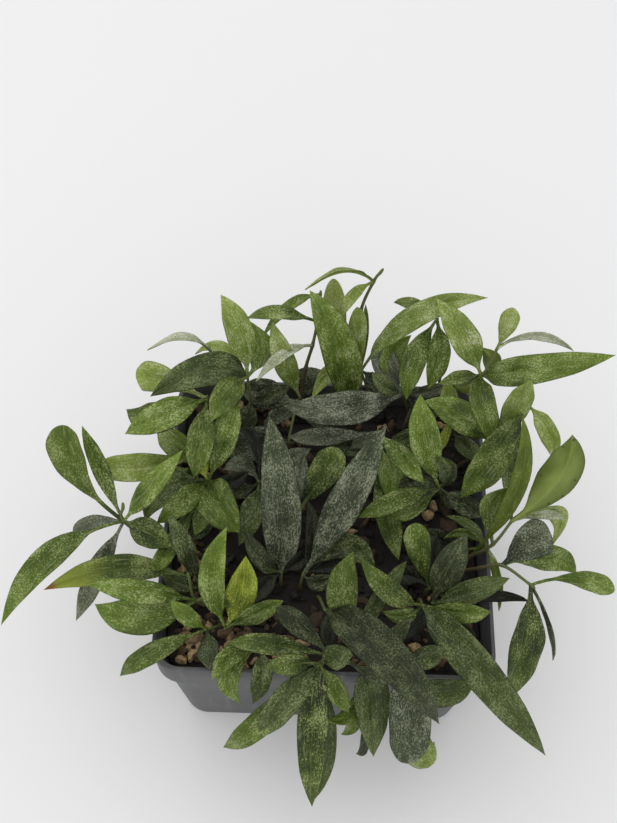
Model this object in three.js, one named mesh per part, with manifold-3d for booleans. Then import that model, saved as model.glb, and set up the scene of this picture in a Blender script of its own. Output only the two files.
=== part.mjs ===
import * as THREE from "three";
import Module from "manifold-3d";

// A trailing wax plant with silver-flecked leaves: rooted cuttings in a square nursery pot.
// Millimetres, +Z up. The origin is the middle of the pot's underside and -Y is the front.

const wasm = await Module();
wasm.setup();

// Pot: thin moulded plastic, wider at the top, with a collar below the rim.
const RIM_WIDTH = 150;
const BASE_WIDTH = 134;
const POT_HEIGHT = 85;
const COLLAR_HEIGHT = 18;
const COLLAR_STEP = 2.6;
const COLLAR_SLOPE = 0.5;
const CORNER_RADIUS = 11.7;
const WALL = 1.8;
const FLOOR = 2.4;
const CORNER_STEPS = 4;
const DRAIN_RADIUS = 4;
const DRAIN_SIDES = 10;
const DRAIN_SPACING = 44;
const CUT_DEPTH = 1;

// Substrate: a packed root ball with a rough top, a little below the rim.
const SOIL_TOP = 72;
const SOIL_GAP = 0.4;
const CRUMB_COUNT = 14;
const CRUMB_SIZE = 5.6;
const CRUMB_SIZE_SPREAD = 2.4;
const CRUMB_HEIGHT = 0.55;
const CRUMB_STRETCH = 0.25;
const CRUMB_TILT = 0.35;
const CRUMB_REACH = 62;
const CORNER_REACH = 1.3;
const GOLDEN_ANGLE = Math.PI * (3 - Math.sqrt(5));

// Cuttings: round stems in plain holes, thick leaves in opposite pairs.
const STEM_RADIUS = 1.1;
const STEM_TAPER = 0.45;
const STEM_SIDES = 5;
const ROOT_DEPTH = 22;
const STEM_RISE = 4;
const BUD_LENGTH = 2.5;
const HOLE_GAP = 0.4;
const HOLE_SIDES = 5;
const PETIOLE_RADIUS = 0.7;
const RIB_UP = 0.5;
const RIB_DOWN = 0.9;
const RIB_THINNING = 0.35;
const LEAF_FOLD = 0.3;
const DEEP_FOLD = 0.75;

// The leaves turn their upper faces to the light, which comes from above and in front.
const LIGHT = new THREE.Vector3(0, -0.5, 0.87).normalize();

// Half width of a leaf along its length, as [share of length, share of half width].
const OUTLINES = {
  pointed: [[0, 0.12], [0.09, 0.13], [0.26, 0.66], [0.46, 1], [0.68, 0.88], [0.88, 0.4]],
  rounded: [[0, 0.12], [0.12, 0.13], [0.34, 0.54], [0.58, 0.92], [0.78, 1], [0.93, 0.66]],
  broad: [[0, 0.12], [0.05, 0.2], [0.16, 0.76], [0.4, 1], [0.7, 0.8], [0.9, 0.35]],
  oval: [[0, 0.12], [0.06, 0.2], [0.2, 0.72], [0.45, 1], [0.75, 0.95], [0.93, 0.55]],
  spoon: [[0, 0.12], [0.25, 0.13], [0.45, 0.5], [0.66, 0.95], [0.82, 1], [0.95, 0.6]],
  stalked: [[0, 0.12], [0.2, 0.13], [0.34, 0.7], [0.5, 1], [0.7, 0.84], [0.88, 0.4]],
  small: [[0, 0.12], [0.1, 0.15], [0.34, 0.88], [0.58, 1], [0.84, 0.54]],
};
OUTLINES.folded = OUTLINES.pointed;

// Each cutting: the stem's bends from the soil up, and its leaves. A leaf is
// [stem bend it grows from, middle of the blade, tip, width, roll in degrees, outline].
const CUTTINGS = [
  {
    name: "cutting_left",
    stem: [[-56, -18, 73], [-75, -20, 92], [-90, -15, 106], [-90, -11, 112]],
    leaves: [
      [2, [-109, -2, 122], [-119, 19, 130], 15, 0, "spoon"],
      [2, [-102, 5, 117], [-110, 21, 127], 8, 25, "folded"],
      [2, [-120, -33, 106], [-142, -57, 84], 12, 0, "stalked"],
      [2, [-103, -12, 98], [-115, -14, 92], 8, 30, "rounded"],
      [2, [-102, -33, 88], [-112, -49, 72], 11, 20, "pointed"],
      [2, [-77, -8, 124], [-63, 5, 136], 10, -10, "pointed"],
      [2, [-79, -20, 106], [-68, -25, 102], 13, 0, "pointed"],
    ],
  },
  {
    name: "cutting_left_low",
    stem: [[-46, -43, 73], [-57, -44, 88], [-60, -37, 98]],
    leaves: [
      [2, [-91, -35, 99], [-124, -43, 92], 13, 10, "pointed"],
      [1, [-79, -48, 107], [-102, -45, 104], 11, -10, "pointed"],
      [1, [-79, -55, 94], [-101, -48, 90], 16, 15, "pointed"],
      [1, [-47, -46, 94], [-40, -51, 99], 7, 0, "small"],
    ],
  },
  {
    name: "cutting_front_left",
    stem: [[-43, -51, 73], [-51, -58, 90]],
    leaves: [
      [1, [-73, -73, 99], [-87, -78, 84], 9, 0, "pointed"],
      [1, [-49, -69, 93], [-49, -76, 90], 10, 15, "pointed"],
      [1, [-59, -56, 100], [-66, -51, 104], 8, 10, "small"],
    ],
  },
  {
    name: "cutting_front_left_low",
    stem: [[-20, -56, 73], [-27, -64, 87]],
    leaves: [
      [1, [-39, -71, 94], [-47, -81, 91], 9, 20, "folded"],
      [1, [-40, -77, 90], [-35, -86, 76], 10, -10, "pointed"],
      [1, [-26, -78, 90], [-30, -86, 76], 9, 0, "pointed"],
    ],
  },
  {
    name: "cutting_front_mid",
    stem: [[0, -55, 73], [3, -70, 95], [-2, -74, 97]],
    leaves: [
      [1, [-16, -91, 97], [-25, -102, 82], 13, -10, "pointed"],
      [2, [-4, -102, 88], [-3, -124, 58], 13, 0, "broad"],
      [2, [3, -98, 70], [-2, -118, 44], 9, 20, "small"],
      [1, [-23, -68, 101], [-41, -67, 98], 9, 15, "pointed"],
      [1, [-12, -59, 104], [-21, -54, 108], 10, 0, "pointed"],
      [1, [2, -59, 98], [7, -51, 104], 8, -10, "small"],
      [2, [-25, -97, 88], [-42, -102, 66], 11, 10, "pointed"],
      [2, [-14, -78, 106], [-24, -78, 100], 10, -15, "pointed"],
      [2, [5, -74, 106], [12, -74, 108], 11, 0, "pointed"],
      [2, [5, -85, 96], [11, -93, 92], 9, -10, "pointed"],
    ],
  },
  {
    name: "cutting_front_star",
    stem: [[13, -46, 73], [11, -64, 92], [10, -74, 100]],
    leaves: [
      [1, [7, -45, 106], [11, -35, 124], 14, 0, "pointed"],
      [2, [21, -77, 93], [32, -79, 88], 6, 25, "small"],
      [1, [24, -45, 102], [35, -30, 106], 9, 20, "small"],
    ],
  },
  {
    name: "cutting_front_big",
    stem: [[-3, -36, 73], [0, -52, 102]],
    leaves: [
      [1, [24, -80, 128], [48, -98, 96], 17, 0, "broad"],
    ],
  },
  {
    name: "cutting_front_hang",
    stem: [[24, -60, 73], [21, -71, 90], [18, -74, 92]],
    leaves: [
      [2, [21, -85, 80], [23, -103, 62], 16, -10, "broad"],
      [2, [13, -88, 76], [1, -96, 90], 7, 10, "small"],
      [2, [15, -89, 70], [9, -93, 60], 6, 0, "small"],
      [2, [20, -95, 66], [16, -99, 52], 6, 50, "small"],
      [1, [29, -63, 98], [37, -55, 104], 8, 10, "small"],
    ],
  },
  {
    name: "cutting_front_round",
    stem: [[35, -58, 73], [32, -75, 91]],
    leaves: [
      [1, [37, -91, 84], [36, -107, 68], 18, 0, "oval"],
      [1, [43, -98, 58], [50, -95, 60], 14, 0, "pointed"],
      [1, [43, -71, 100], [51, -69, 103], 10, 0, "pointed"],
      [1, [50, -83, 89], [65, -76, 94], 12, -20, "pointed"],
    ],
  },
  {
    name: "cutting_front_right",
    stem: [[43, -36, 73], [42, -47, 98]],
    leaves: [
      [1, [66, -78, 102], [95, -104, 76], 16, 10, "broad"],
      [1, [27, -47, 112], [14, -36, 122], 10, 0, "pointed"],
      [1, [58, -53, 106], [70, -53, 108], 9, 10, "pointed"],
      [1, [34, -53, 100], [25, -51, 100], 7, 0, "small"],
    ],
  },
  {
    name: "cutting_right_low",
    stem: [[60, -23, 73], [69, -26, 92], [78, -27, 98], [90, -36, 98]],
    leaves: [
      [3, [108, -34, 102], [128, -35, 92], 9, 0, "spoon"],
      [3, [88, -58, 84], [84, -76, 62], 17, -20, "pointed"],
      [3, [100, -50, 84], [103, -60, 70], 4, 65, "small"],
      [2, [87, -21, 106], [98, -14, 108], 17, 0, "rounded"],
      [2, [100, -19, 92], [114, -24, 84], 13, 20, "pointed"],
    ],
  },
  {
    name: "cutting_right_tall",
    stem: [[64, -18, 73], [66, -17, 84], [74, -18, 100], [81, -12, 112]],
    leaves: [
      [3, [98, -2, 134], [101, 9, 152], 17, 180, "pointed"],
      [1, [81, -4, 128], [81, 19, 150], 8, 0, "small"],
      [2, [74, -1, 104], [80, 2, 116], 13, 10, "pointed"],
      [3, [103, -2, 102], [104, -10, 82], 9, 20, "small"],
      [3, [82, 14, 107], [84, 28, 116], 11, 30, "pointed"],
      [3, [97, -5, 106], [106, -6, 102], 5, 20, "small"],
    ],
  },
  {
    name: "cutting_right_back",
    stem: [[63, 34, 73], [78, 33, 100], [90, 43, 121]],
    leaves: [
      [2, [98, 29, 122], [104, 22, 106], 9, 20, "small"],
      [1, [85, 41, 124], [89, 44, 139], 12, 0, "pointed"],
      [2, [74, 18, 116], [61, 6, 98], 17, -10, "pointed"],
      [1, [62, 42, 110], [44, 48, 114], 15, 0, "pointed"],
    ],
  },
  {
    name: "cutting_right_arch",
    stem: [[63, -12, 73], [72, -16, 93]],
    leaves: [
      [1, [66, -5, 91], [54, -3, 97], 5, 20, "small"],
      [1, [77, -28, 91], [79, -40, 77], 7, 60, "small"],
      [1, [64, -7, 88], [54, -9, 86], 5, -20, "small"],
      [0, [53, -8, 82], [44, -3, 82], 9, 0, "small"],
    ],
  },
  {
    name: "cutting_mid_right_low",
    stem: [[53, -41, 73], [48, -42, 88]],
    leaves: [
      [1, [53, -31, 102], [61, -19, 112], 15, 10, "pointed"],
      [1, [63, -40, 98], [81, -33, 98], 11, 0, "pointed"],
      [1, [72, -38, 90], [92, -38, 84], 6, 20, "small"],
      [1, [58, -55, 92], [66, -62, 90], 10, 0, "pointed"],
      [1, [40, -52, 90], [32, -59, 88], 8, 0, "small"],
    ],
  },
  {
    name: "cutting_mid_right_round",
    stem: [[46, -32, 73], [47, -33, 84]],
    leaves: [
      [1, [42, -23, 97], [39, -11, 105], 12, -10, "rounded"],
      [1, [49, -23, 88], [50, -11, 94], 8, 25, "small"],
      [1, [36, -26, 82], [28, -33, 80], 10, 0, "small"],
    ],
  },
  {
    name: "cutting_mid_right",
    stem: [[55, 13, 73], [52, 14, 92]],
    leaves: [
      [1, [44, 29, 110], [41, 45, 124], 15, 0, "pointed"],
      [1, [30, 0, 104], [14, -7, 100], 10, -10, "pointed"],
      [1, [39, 2, 92], [30, 0, 88], 8, 15, "small"],
      [1, [55, 18, 98], [49, 23, 106], 11, 30, "small"],
      [1, [42, 16, 94], [33, 13, 93], 11, 20, "small"],
      [1, [65, 7, 88], [73, 1, 90], 10, 0, "pointed"],
      [1, [44, 11, 97], [35, 11, 94], 8, 10, "small"],
      [1, [59, 12, 84], [68, 19, 84], 9, 0, "small"],
    ],
  },
  {
    name: "cutting_mid_top",
    stem: [[29, 33, 73], [25, 35, 90], [23, 36, 104]],
    leaves: [
      [2, [34, 21, 106], [44, 12, 100], 10, 0, "pointed"],
      [1, [30, 20, 92], [28, 9, 86], 13, 0, "pointed"],
      [1, [28, 5, 84], [34, -17, 78], 13, -15, "pointed"],
      [2, [-3, 36, 98], [-19, 38, 94], 9, 10, "pointed"],
      [1, [13, 37, 88], [1, 38, 86], 10, 0, "pointed"],
      [1, [14, 28, 84], [5, 19, 80], 10, 0, "pointed"],
      [1, [18, 37, 94], [11, 35, 90], 9, 0, "small"],
      [1, [37, 43, 86], [47, 50, 84], 9, 0, "small"],
    ],
  },
  {
    name: "cutting_mid_diag",
    stem: [[-11, -31, 73], [-10, -29, 85]],
    leaves: [
      [1, [8, -4, 110], [25, 26, 128], 16, 0, "pointed"],
      [1, [-6, -15, 92], [-9, 3, 98], 8, 20, "small"],
      [1, [9, -17, 92], [23, -28, 82], 12, 0, "pointed"],
      [1, [-3, -32, 84], [6, -27, 82], 8, 0, "small"],
      [1, [5, -21, 84], [14, -15, 82], 10, 0, "small"],
    ],
  },
  {
    name: "cutting_mid_tall",
    stem: [[-20, -30, 73], [-20, -28, 84]],
    leaves: [
      [1, [-21, -3, 110], [-27, 27, 130], 18, 0, "broad"],
      [1, [-29, -25, 92], [-37, -12, 96], 9, 20, "small"],
      [1, [-11, -22, 86], [-4, -17, 88], 8, 10, "small"],
      [1, [-28, -35, 84], [-33, -44, 84], 9, 0, "small"],
    ],
  },
  {
    name: "cutting_mid_round",
    stem: [[-16, -1, 73], [-13, 1, 88]],
    leaves: [
      [1, [-4, 12, 100], [5, 24, 108], 15, 0, "rounded"],
      [1, [-6, -2, 86], [2, -6, 84], 10, 0, "pointed"],
      [1, [-13, 16, 92], [-11, 30, 94], 8, 20, "small"],
    ],
  },
  {
    name: "cutting_left_front",
    stem: [[-40, -48, 73], [-43, -56, 87]],
    leaves: [
      [1, [-37, -42, 94], [-35, -31, 108], 14, 10, "pointed"],
      [1, [-48, -42, 108], [-43, -23, 120], 12, -10, "folded"],
      [1, [-29, -52, 96], [-18, -47, 98], 9, 10, "pointed"],
    ],
  },
  {
    name: "cutting_mid_left",
    stem: [[-50, 11, 73], [-55, 12, 96]],
    leaves: [
      [1, [-49, -5, 105], [-39, -15, 98], 18, 0, "broad"],
      [1, [-64, -5, 108], [-76, -14, 102], 11, -10, "pointed"],
      [1, [-48, 25, 113], [-43, 43, 118], 13, 0, "pointed"],
      [1, [-58, 18, 104], [-53, 28, 108], 7, 25, "small"],
      [1, [-74, 6, 98], [-83, -7, 90], 14, 10, "pointed"],
      [1, [-70, -26, 100], [-74, -38, 109], 8, 0, "small"],
      [1, [-57, 0, 88], [-61, -10, 82], 9, 0, "pointed"],
      [1, [-45, 14, 92], [-37, 20, 92], 8, 0, "small"],
      [0, [-57, -4, 82], [-63, -11, 80], 9, 0, "small"],
    ],
  },
  {
    name: "cutting_left_dark",
    stem: [[-54, -37, 73], [-57, -36, 84]],
    leaves: [
      [1, [-62, -26, 104], [-70, -14, 112], 9, 10, "pointed"],
      [1, [-50, -26, 86], [-41, -21, 86], 8, 0, "small"],
      [1, [-64, -37, 90], [-73, -33, 90], 8, 0, "small"],
      [1, [-64, -43, 82], [-70, -49, 80], 9, 0, "small"],
    ],
  },
  {
    name: "cutting_mid_left_dark",
    stem: [[-31, 15, 73], [-32, 16, 88]],
    leaves: [
      [1, [-34, -2, 92], [-40, -15, 84], 12, 10, "pointed"],
      [1, [-40, 25, 88], [-50, 24, 84], 9, 0, "small"],
      [1, [-35, 33, 98], [-43, 38, 98], 6, 20, "small"],
      [1, [-20, 26, 90], [-8, 33, 92], 10, 0, "pointed"],
      [1, [-42, 13, 86], [-50, 20, 86], 9, 0, "small"],
    ],
  },
  {
    name: "cutting_back_left_low",
    stem: [[-60, 30, 73], [-60, 31, 86], [-59, 38, 102], [-57, 44, 116]],
    leaves: [
      [3, [-74, 30, 124], [-93, 25, 114], 14, 0, "pointed"],
      [3, [-78, 35, 112], [-95, 42, 108], 16, 20, "pointed"],
      [3, [-58, 22, 116], [-61, 9, 104], 13, 0, "pointed"],
      [3, [-78, 56, 112], [-92, 58, 110], 15, 10, "rounded"],
      [1, [-89, 12, 106], [-106, 14, 106], 13, 0, "pointed"],
      [0, [-72, 34, 89], [-83, 44, 89], 13, 0, "pointed"],
      [0, [-67, 19, 85], [-74, 26, 86], 10, 0, "small"],
    ],
  },
  {
    name: "cutting_back_left",
    stem: [[-37, 54, 73], [-38, 55, 98], [-39, 57, 116]],
    leaves: [
      [2, [-47, 42, 124], [-54, 29, 120], 13, 0, "pointed"],
      [2, [-58, 53, 126], [-83, 43, 118], 16, 0, "broad"],
      [2, [-42, 65, 140], [-51, 77, 152], 13, 0, "pointed"],
      [2, [-33, 70, 120], [-39, 78, 131], 14, -20, "pointed"],
      [2, [-53, 77, 110], [-66, 77, 104], 7, 20, "small"],
      [1, [-40, 48, 92], [-46, 37, 86], 11, 0, "pointed"],
      [1, [-30, 59, 96], [-19, 64, 98], 9, 10, "small"],
    ],
  },
  {
    name: "cutting_back_left_thin",
    stem: [[-52, 64, 73], [-54, 66, 98], [-58, 74, 112]],
    leaves: [
      [2, [-70, 74, 122], [-88, 73, 112], 7, 50, "small"],
    ],
  },
  {
    name: "cutting_back_mid_left",
    stem: [[-14, 63, 73], [-14, 64, 87], [-12, 70, 105], [-9, 76, 116], [-7, 82, 127], [-6, 88, 140]],
    leaves: [
      [4, [-25, 78, 138], [-40, 79, 132], 8, 25, "small"],
      [5, [-20, 87, 132], [-33, 77, 120], 6, 20, "small"],
      [3, [-22, 65, 124], [-35, 54, 116], 6, 20, "small"],
      [1, [-22, 65, 118], [-28, 76, 134], 11, 0, "pointed"],
      [1, [-10, 68, 95], [-8, 74, 100], 16, 10, "rounded"],
      [1, [-22, 57, 87], [-32, 48, 85], 10, 0, "pointed"],
      [1, [-5, 53, 88], [3, 43, 84], 11, 0, "pointed"],
    ],
  },
  {
    name: "cutting_back_top",
    stem: [[17, 63, 73], [13, 79, 104], [13, 83, 134], [18, 87, 152], [21, 88, 158]],
    leaves: [
      [3, [4, 83, 164], [-13, 78, 156], 8, 70, "small"],
      [3, [9, 83, 146], [4, 80, 132], 6, 20, "small"],
    ],
  },
  {
    name: "cutting_back_mid",
    stem: [[9, 59, 73], [10, 62, 87]],
    leaves: [
      [1, [3, 71, 124], [-11, 84, 148], 18, 0, "broad"],
      [1, [3, 88, 108], [0, 104, 132], 11, 0, "rounded"],
      [1, [12, 78, 124], [11, 81, 140], 9, 0, "small"],
      [1, [15, 87, 102], [16, 96, 123], 6, 30, "small"],
      [1, [2, 69, 104], [-9, 57, 96], 10, 0, "pointed"],
    ],
  },
  {
    name: "cutting_back_grey",
    stem: [[40, 63, 73], [36, 64, 94]],
    leaves: [
      [1, [7, 41, 116], [-22, 44, 112], 16, 0, "pointed"],
      [1, [30, 79, 100], [39, 88, 110], 14, 15, "pointed"],
      [1, [48, 65, 96], [60, 64, 107], 7, 20, "small"],
      [1, [26, 62, 104], [20, 66, 110], 9, 15, "small"],
      [1, [27, 77, 100], [24, 93, 103], 13, 0, "pointed"],
      [1, [47, 60, 86], [58, 65, 84], 9, 0, "small"],
    ],
  },
  {
    name: "cutting_back_arch",
    stem: [[23, 63, 73], [15, 73, 100]],
    leaves: [
      [1, [38, 77, 140], [72, 89, 140], 11, 0, "pointed"],
      [1, [22, 71, 94], [27, 65, 88], 8, 10, "small"],
    ],
  },
  {
    name: "cutting_back_right",
    stem: [[38, 56, 73], [44, 65, 88], [59, 64, 102], [70, 59, 120], [74, 63, 127], [76, 66, 132]],
    leaves: [
      [3, [60, 67, 138], [46, 77, 154], 14, 0, "pointed"],
      [3, [94, 58, 128], [133, 70, 124], 14, 0, "broad"],
      [3, [70, 40, 120], [79, 26, 110], 13, -15, "broad"],
      [3, [61, 60, 116], [51, 60, 110], 7, 15, "small"],
      [3, [64, 57, 112], [59, 61, 108], 5, 200, "small"],
      [3, [75, 65, 122], [69, 68, 130], 9, 160, "small"],
      [5, [79, 71, 141], [81, 76, 150], 9, 0, "rounded"],
      [5, [93, 70, 138], [113, 70, 126], 6, 55, "small"],
    ],
  },
  {
    name: "cutting_back_hang",
    stem: [[52, 63, 73], [54, 75, 98], [50, 88, 124]],
    leaves: [
      [2, [40, 72, 112], [37, 58, 98], 12, 10, "pointed"],
      [2, [51, 74, 114], [47, 62, 102], 12, -15, "pointed"],
      [2, [39, 94, 126], [29, 94, 128], 7, 20, "small"],
    ],
  },
  {
    name: "cutting_mid_back_small",
    stem: [[62, 53, 73], [59, 53, 90]],
    leaves: [
      [1, [57, 56, 102], [56, 65, 106], 9, 0, "small"],
      [1, [56, 43, 90], [53, 37, 84], 5, 20, "small"],
      [0, [66, 36, 92], [74, 30, 90], 9, 0, "small"],
    ],
  },
  {
    name: "cutting_mid_left_shade",
    stem: [[-16, 44, 73], [-19, 41, 84], [-16, 58, 92]],
    leaves: [
      [1, [-37, 35, 90], [-51, 34, 86], 17, 0, "broad"],
      [2, [-31, 63, 92], [-45, 66, 92], 15, 0, "pointed"],
    ],
  },
];

function manifoldFrom(points, faces) {
  return new wasm.Manifold(new wasm.Mesh({
    numProp: 3,
    vertProperties: new Float32Array(points.flatMap((point) => point.toArray())),
    triVerts: new Uint32Array(faces),
  }));
}

// A closed solid through a row of rings. Every other side is split the other way, so
// that the two faces of a blade are cut alike and never cross.
function loft(rings, first, last) {
  const size = rings[0].length;
  const points = [...rings.flat(), first, last];
  const faces = [];
  for (let row = 0; row + 1 < rings.length; row += 1) {
    for (let step = 0; step < size; step += 1) {
      const a = row * size + step;
      const b = row * size + ((step + 1) % size);
      const c = a + size;
      const d = b + size;
      if (step % 2 === 0) faces.push(a, b, d, a, d, c);
      else faces.push(a, b, c, b, d, c);
    }
  }
  const start = points.length - 2;
  const end = points.length - 1;
  const lastRow = (rings.length - 1) * size;
  for (let step = 0; step < size; step += 1) {
    const next = (step + 1) % size;
    faces.push(start, next, step);
    faces.push(end, lastRow + step, lastRow + next);
  }
  return manifoldFrom(points, faces);
}

// A square with rounded corners, counter-clockwise, at one height.
function roundedSquare(width, radius, z) {
  const ring = [];
  const centre = width / 2 - radius;
  for (let corner = 0; corner < 4; corner += 1) {
    const towards = Math.PI / 4 + (corner * Math.PI) / 2;
    for (let step = 0; step <= CORNER_STEPS; step += 1) {
      const angle = towards - Math.PI / 4 + (step / CORNER_STEPS) * (Math.PI / 2);
      ring.push(new THREE.Vector3(
        Math.sign(Math.cos(towards)) * centre + Math.cos(angle) * radius,
        Math.sign(Math.sin(towards)) * centre + Math.sin(angle) * radius,
        z,
      ));
    }
  }
  return ring;
}

function squareLoft(levels) {
  const rings = levels.map(([width, z]) => roundedSquare(width, CORNER_RADIUS, z));
  const bottom = new THREE.Vector3(0, 0, levels[0][1]);
  const top = new THREE.Vector3(0, 0, levels[levels.length - 1][1]);
  return loft(rings, bottom, top);
}

function cylinder(radius, sides, x, y, bottom, top) {
  const ring = (z) => Array.from({ length: sides }, (unused, side) => {
    const angle = (side / sides) * Math.PI * 2;
    return new THREE.Vector3(x + Math.cos(angle) * radius, y + Math.sin(angle) * radius, z);
  });
  return loft([ring(bottom), ring(top)], new THREE.Vector3(x, y, bottom), new THREE.Vector3(x, y, top));
}

// Width of the pot's wall outside at a height below the collar.
const COLLAR_BOTTOM = POT_HEIGHT - COLLAR_HEIGHT;
const NECK_WIDTH = RIM_WIDTH - 2 * COLLAR_STEP;
const wallWidth = (z) => THREE.MathUtils.lerp(BASE_WIDTH, NECK_WIDTH, z / COLLAR_BOTTOM);
const RIM_INSIDE = RIM_WIDTH - 2 * WALL;
const HOLE_RADIUS = (STEM_RADIUS + HOLE_GAP) / Math.cos(Math.PI / HOLE_SIDES);

function buildPot() {
  let pot = squareLoft([
    [BASE_WIDTH, 0],
    [wallWidth(COLLAR_BOTTOM), COLLAR_BOTTOM],
    [RIM_WIDTH - 2 * COLLAR_SLOPE, COLLAR_BOTTOM + COLLAR_SLOPE],
    [RIM_WIDTH, POT_HEIGHT],
  ]);
  pot = pot.subtract(squareLoft([
    [wallWidth(FLOOR) - 2 * WALL, FLOOR],
    [wallWidth(COLLAR_BOTTOM) - 2 * WALL, COLLAR_BOTTOM],
    [RIM_INSIDE, POT_HEIGHT],
    [RIM_INSIDE, POT_HEIGHT + CUT_DEPTH],
  ]));
  for (const x of [-DRAIN_SPACING, 0, DRAIN_SPACING]) {
    for (const y of [-DRAIN_SPACING, 0, DRAIN_SPACING]) {
      if (x === 0 && y === 0) continue;
      const drain = cylinder(DRAIN_RADIUS, DRAIN_SIDES, x, y, -CUT_DEPTH, FLOOR + CUT_DEPTH);
      pot = pot.subtract(drain);
    }
  }
  return pot;
}

// Stem bends with the buried part added: straight down into the soil.
function stemLine(stem) {
  const points = stem.map((point) => new THREE.Vector3(...point));
  const [x, y] = stem[0];
  points[0].z += STEM_RISE;
  return [new THREE.Vector3(x, y, SOIL_TOP - ROOT_DEPTH), ...points];
}

// A crumb of bark or clay: a squashed, turned icosahedron. They lie in a spiral.
function crumb(index) {
  const share = (index + 0.5) / CRUMB_COUNT;
  const turn = index * GOLDEN_ANGLE;
  const reach = Math.sqrt(share) * CRUMB_REACH * CORNER_REACH;
  const x = THREE.MathUtils.clamp(Math.cos(turn) * reach, -CRUMB_REACH, CRUMB_REACH);
  const y = THREE.MathUtils.clamp(Math.sin(turn) * reach, -CRUMB_REACH, CRUMB_REACH);
  const size = CRUMB_SIZE + CRUMB_SIZE_SPREAD * Math.sin(2 * turn);
  const geometry = new THREE.IcosahedronGeometry(1, 0);
  geometry.scale(size * (1 + CRUMB_STRETCH * Math.sin(index)), size, size * CRUMB_HEIGHT);
  geometry.rotateX(CRUMB_TILT * Math.sin(3 * turn));
  geometry.rotateZ(turn);
  geometry.translate(x, y, SOIL_TOP);
  const place = geometry.attributes.position;
  const points = [];
  const faces = [];
  const seen = new Map();
  for (let i = 0; i < place.count; i += 1) {
    const point = new THREE.Vector3().fromBufferAttribute(place, i);
    const key = point.toArray().map((value) => value.toFixed(3)).join();
    if (!seen.has(key)) seen.set(key, points.push(point) - 1);
    faces.push(seen.get(key));
  }
  return manifoldFrom(points, faces);
}

function buildSubstrate() {
  const bottom = FLOOR + SOIL_GAP;
  const inside = (z) => wallWidth(z) - 2 * (WALL + SOIL_GAP);
  let soil = squareLoft([
    [inside(bottom), bottom],
    [inside(COLLAR_BOTTOM), COLLAR_BOTTOM],
    [inside(COLLAR_BOTTOM), SOIL_TOP],
  ]);
  const crumbs = Array.from({ length: CRUMB_COUNT }, (unused, index) => crumb(index));
  soil = wasm.Manifold.union([soil, ...crumbs]);
  const holeBottom = SOIL_TOP - ROOT_DEPTH - HOLE_GAP;
  const holeTop = SOIL_TOP + 2 * CRUMB_SIZE;
  const holes = CUTTINGS.map(({ stem: [[x, y]] }) => (
    cylinder(HOLE_RADIUS, HOLE_SIDES, x, y, holeBottom, holeTop)
  ));
  return soil.subtract(wasm.Manifold.union(holes));
}

// A stem through its bends, with a growing tip on its end.
function buildStem(line) {
  const upright = new THREE.Vector3(0, 0, 1);
  const rings = line.map((point, index) => {
    const before = line[Math.max(index - 1, 0)];
    const after = line[Math.min(index + 1, line.length - 1)];
    const along = after.clone().sub(before).normalize();
    const turn = new THREE.Quaternion().setFromUnitVectors(upright, along);
    const radius = STEM_RADIUS * (1 - (STEM_TAPER * index) / (line.length - 1));
    return Array.from({ length: STEM_SIDES }, (unused, side) => {
      const angle = (side / STEM_SIDES) * Math.PI * 2;
      const spoke = new THREE.Vector3(Math.cos(angle) * radius, Math.sin(angle) * radius, 0);
      return spoke.applyQuaternion(turn).add(point);
    });
  });
  const end = line[line.length - 1];
  const ahead = end.clone().sub(line[line.length - 2]).normalize();
  return loft(rings, line[0], end.clone().addScaledVector(ahead, BUD_LENGTH));
}

// A leaf bends from its stem through the middle of its blade to its tip. Its section is a
// flat diamond with the rib in the middle, and the edges are lifted by the fold.
function buildLeaf(base, [, middle, tip, width, roll, outline]) {
  const mid = new THREE.Vector3(...middle);
  const end = new THREE.Vector3(...tip);
  const chord = base.clone().lerp(end, 0.5);
  const control = mid.clone().multiplyScalar(2).sub(chord);
  const curve = new THREE.QuadraticBezierCurve3(base, control, end);
  const along = curve.getTangent(0.5);
  const up = LIGHT.clone().addScaledVector(along, -LIGHT.dot(along)).normalize();
  up.applyAxisAngle(along, THREE.MathUtils.degToRad(roll));
  const side = along.clone().cross(up);
  const fold = outline === "folded" ? DEEP_FOLD : LEAF_FOLD;
  const rings = OUTLINES[outline].map(([share, half]) => {
    const centre = curve.getPoint(share);
    const turn = new THREE.Quaternion().setFromUnitVectors(along, curve.getTangent(share));
    const out = side.clone().applyQuaternion(turn);
    const face = up.clone().applyQuaternion(turn);
    const reach = Math.max((width / 2) * half, PETIOLE_RADIUS);
    const lift = fold * (reach - PETIOLE_RADIUS);
    const thickness = 1 - RIB_THINNING * share;
    return [
      centre.clone().addScaledVector(out, -reach).addScaledVector(face, lift),
      centre.clone().addScaledVector(face, RIB_UP * thickness),
      centre.clone().addScaledVector(out, reach).addScaledVector(face, lift),
      centre.clone().addScaledVector(face, -RIB_DOWN * thickness),
    ];
  });
  return loft(rings, base, end);
}

function buildCutting({ stem, leaves }) {
  const line = stemLine(stem);
  const blades = leaves.map((leaf) => buildLeaf(line[leaf[0] + 1], leaf));
  const whole = wasm.Manifold.union([buildStem(line), ...blades]);
  const bodies = whole.decompose().sort((a, b) => b.volume() - a.volume());
  return bodies[0];
}

function addMesh(group, name, solid, look) {
  const { vertProperties, triVerts } = solid.getMesh();
  const geometry = new THREE.BufferGeometry();
  geometry.setAttribute("position", new THREE.BufferAttribute(vertProperties, 3));
  geometry.setIndex(new THREE.BufferAttribute(triVerts, 1));
  geometry.computeVertexNormals();
  const mesh = new THREE.Mesh(geometry, new THREE.MeshStandardMaterial(look));
  mesh.name = name;
  group.add(mesh);
}

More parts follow.
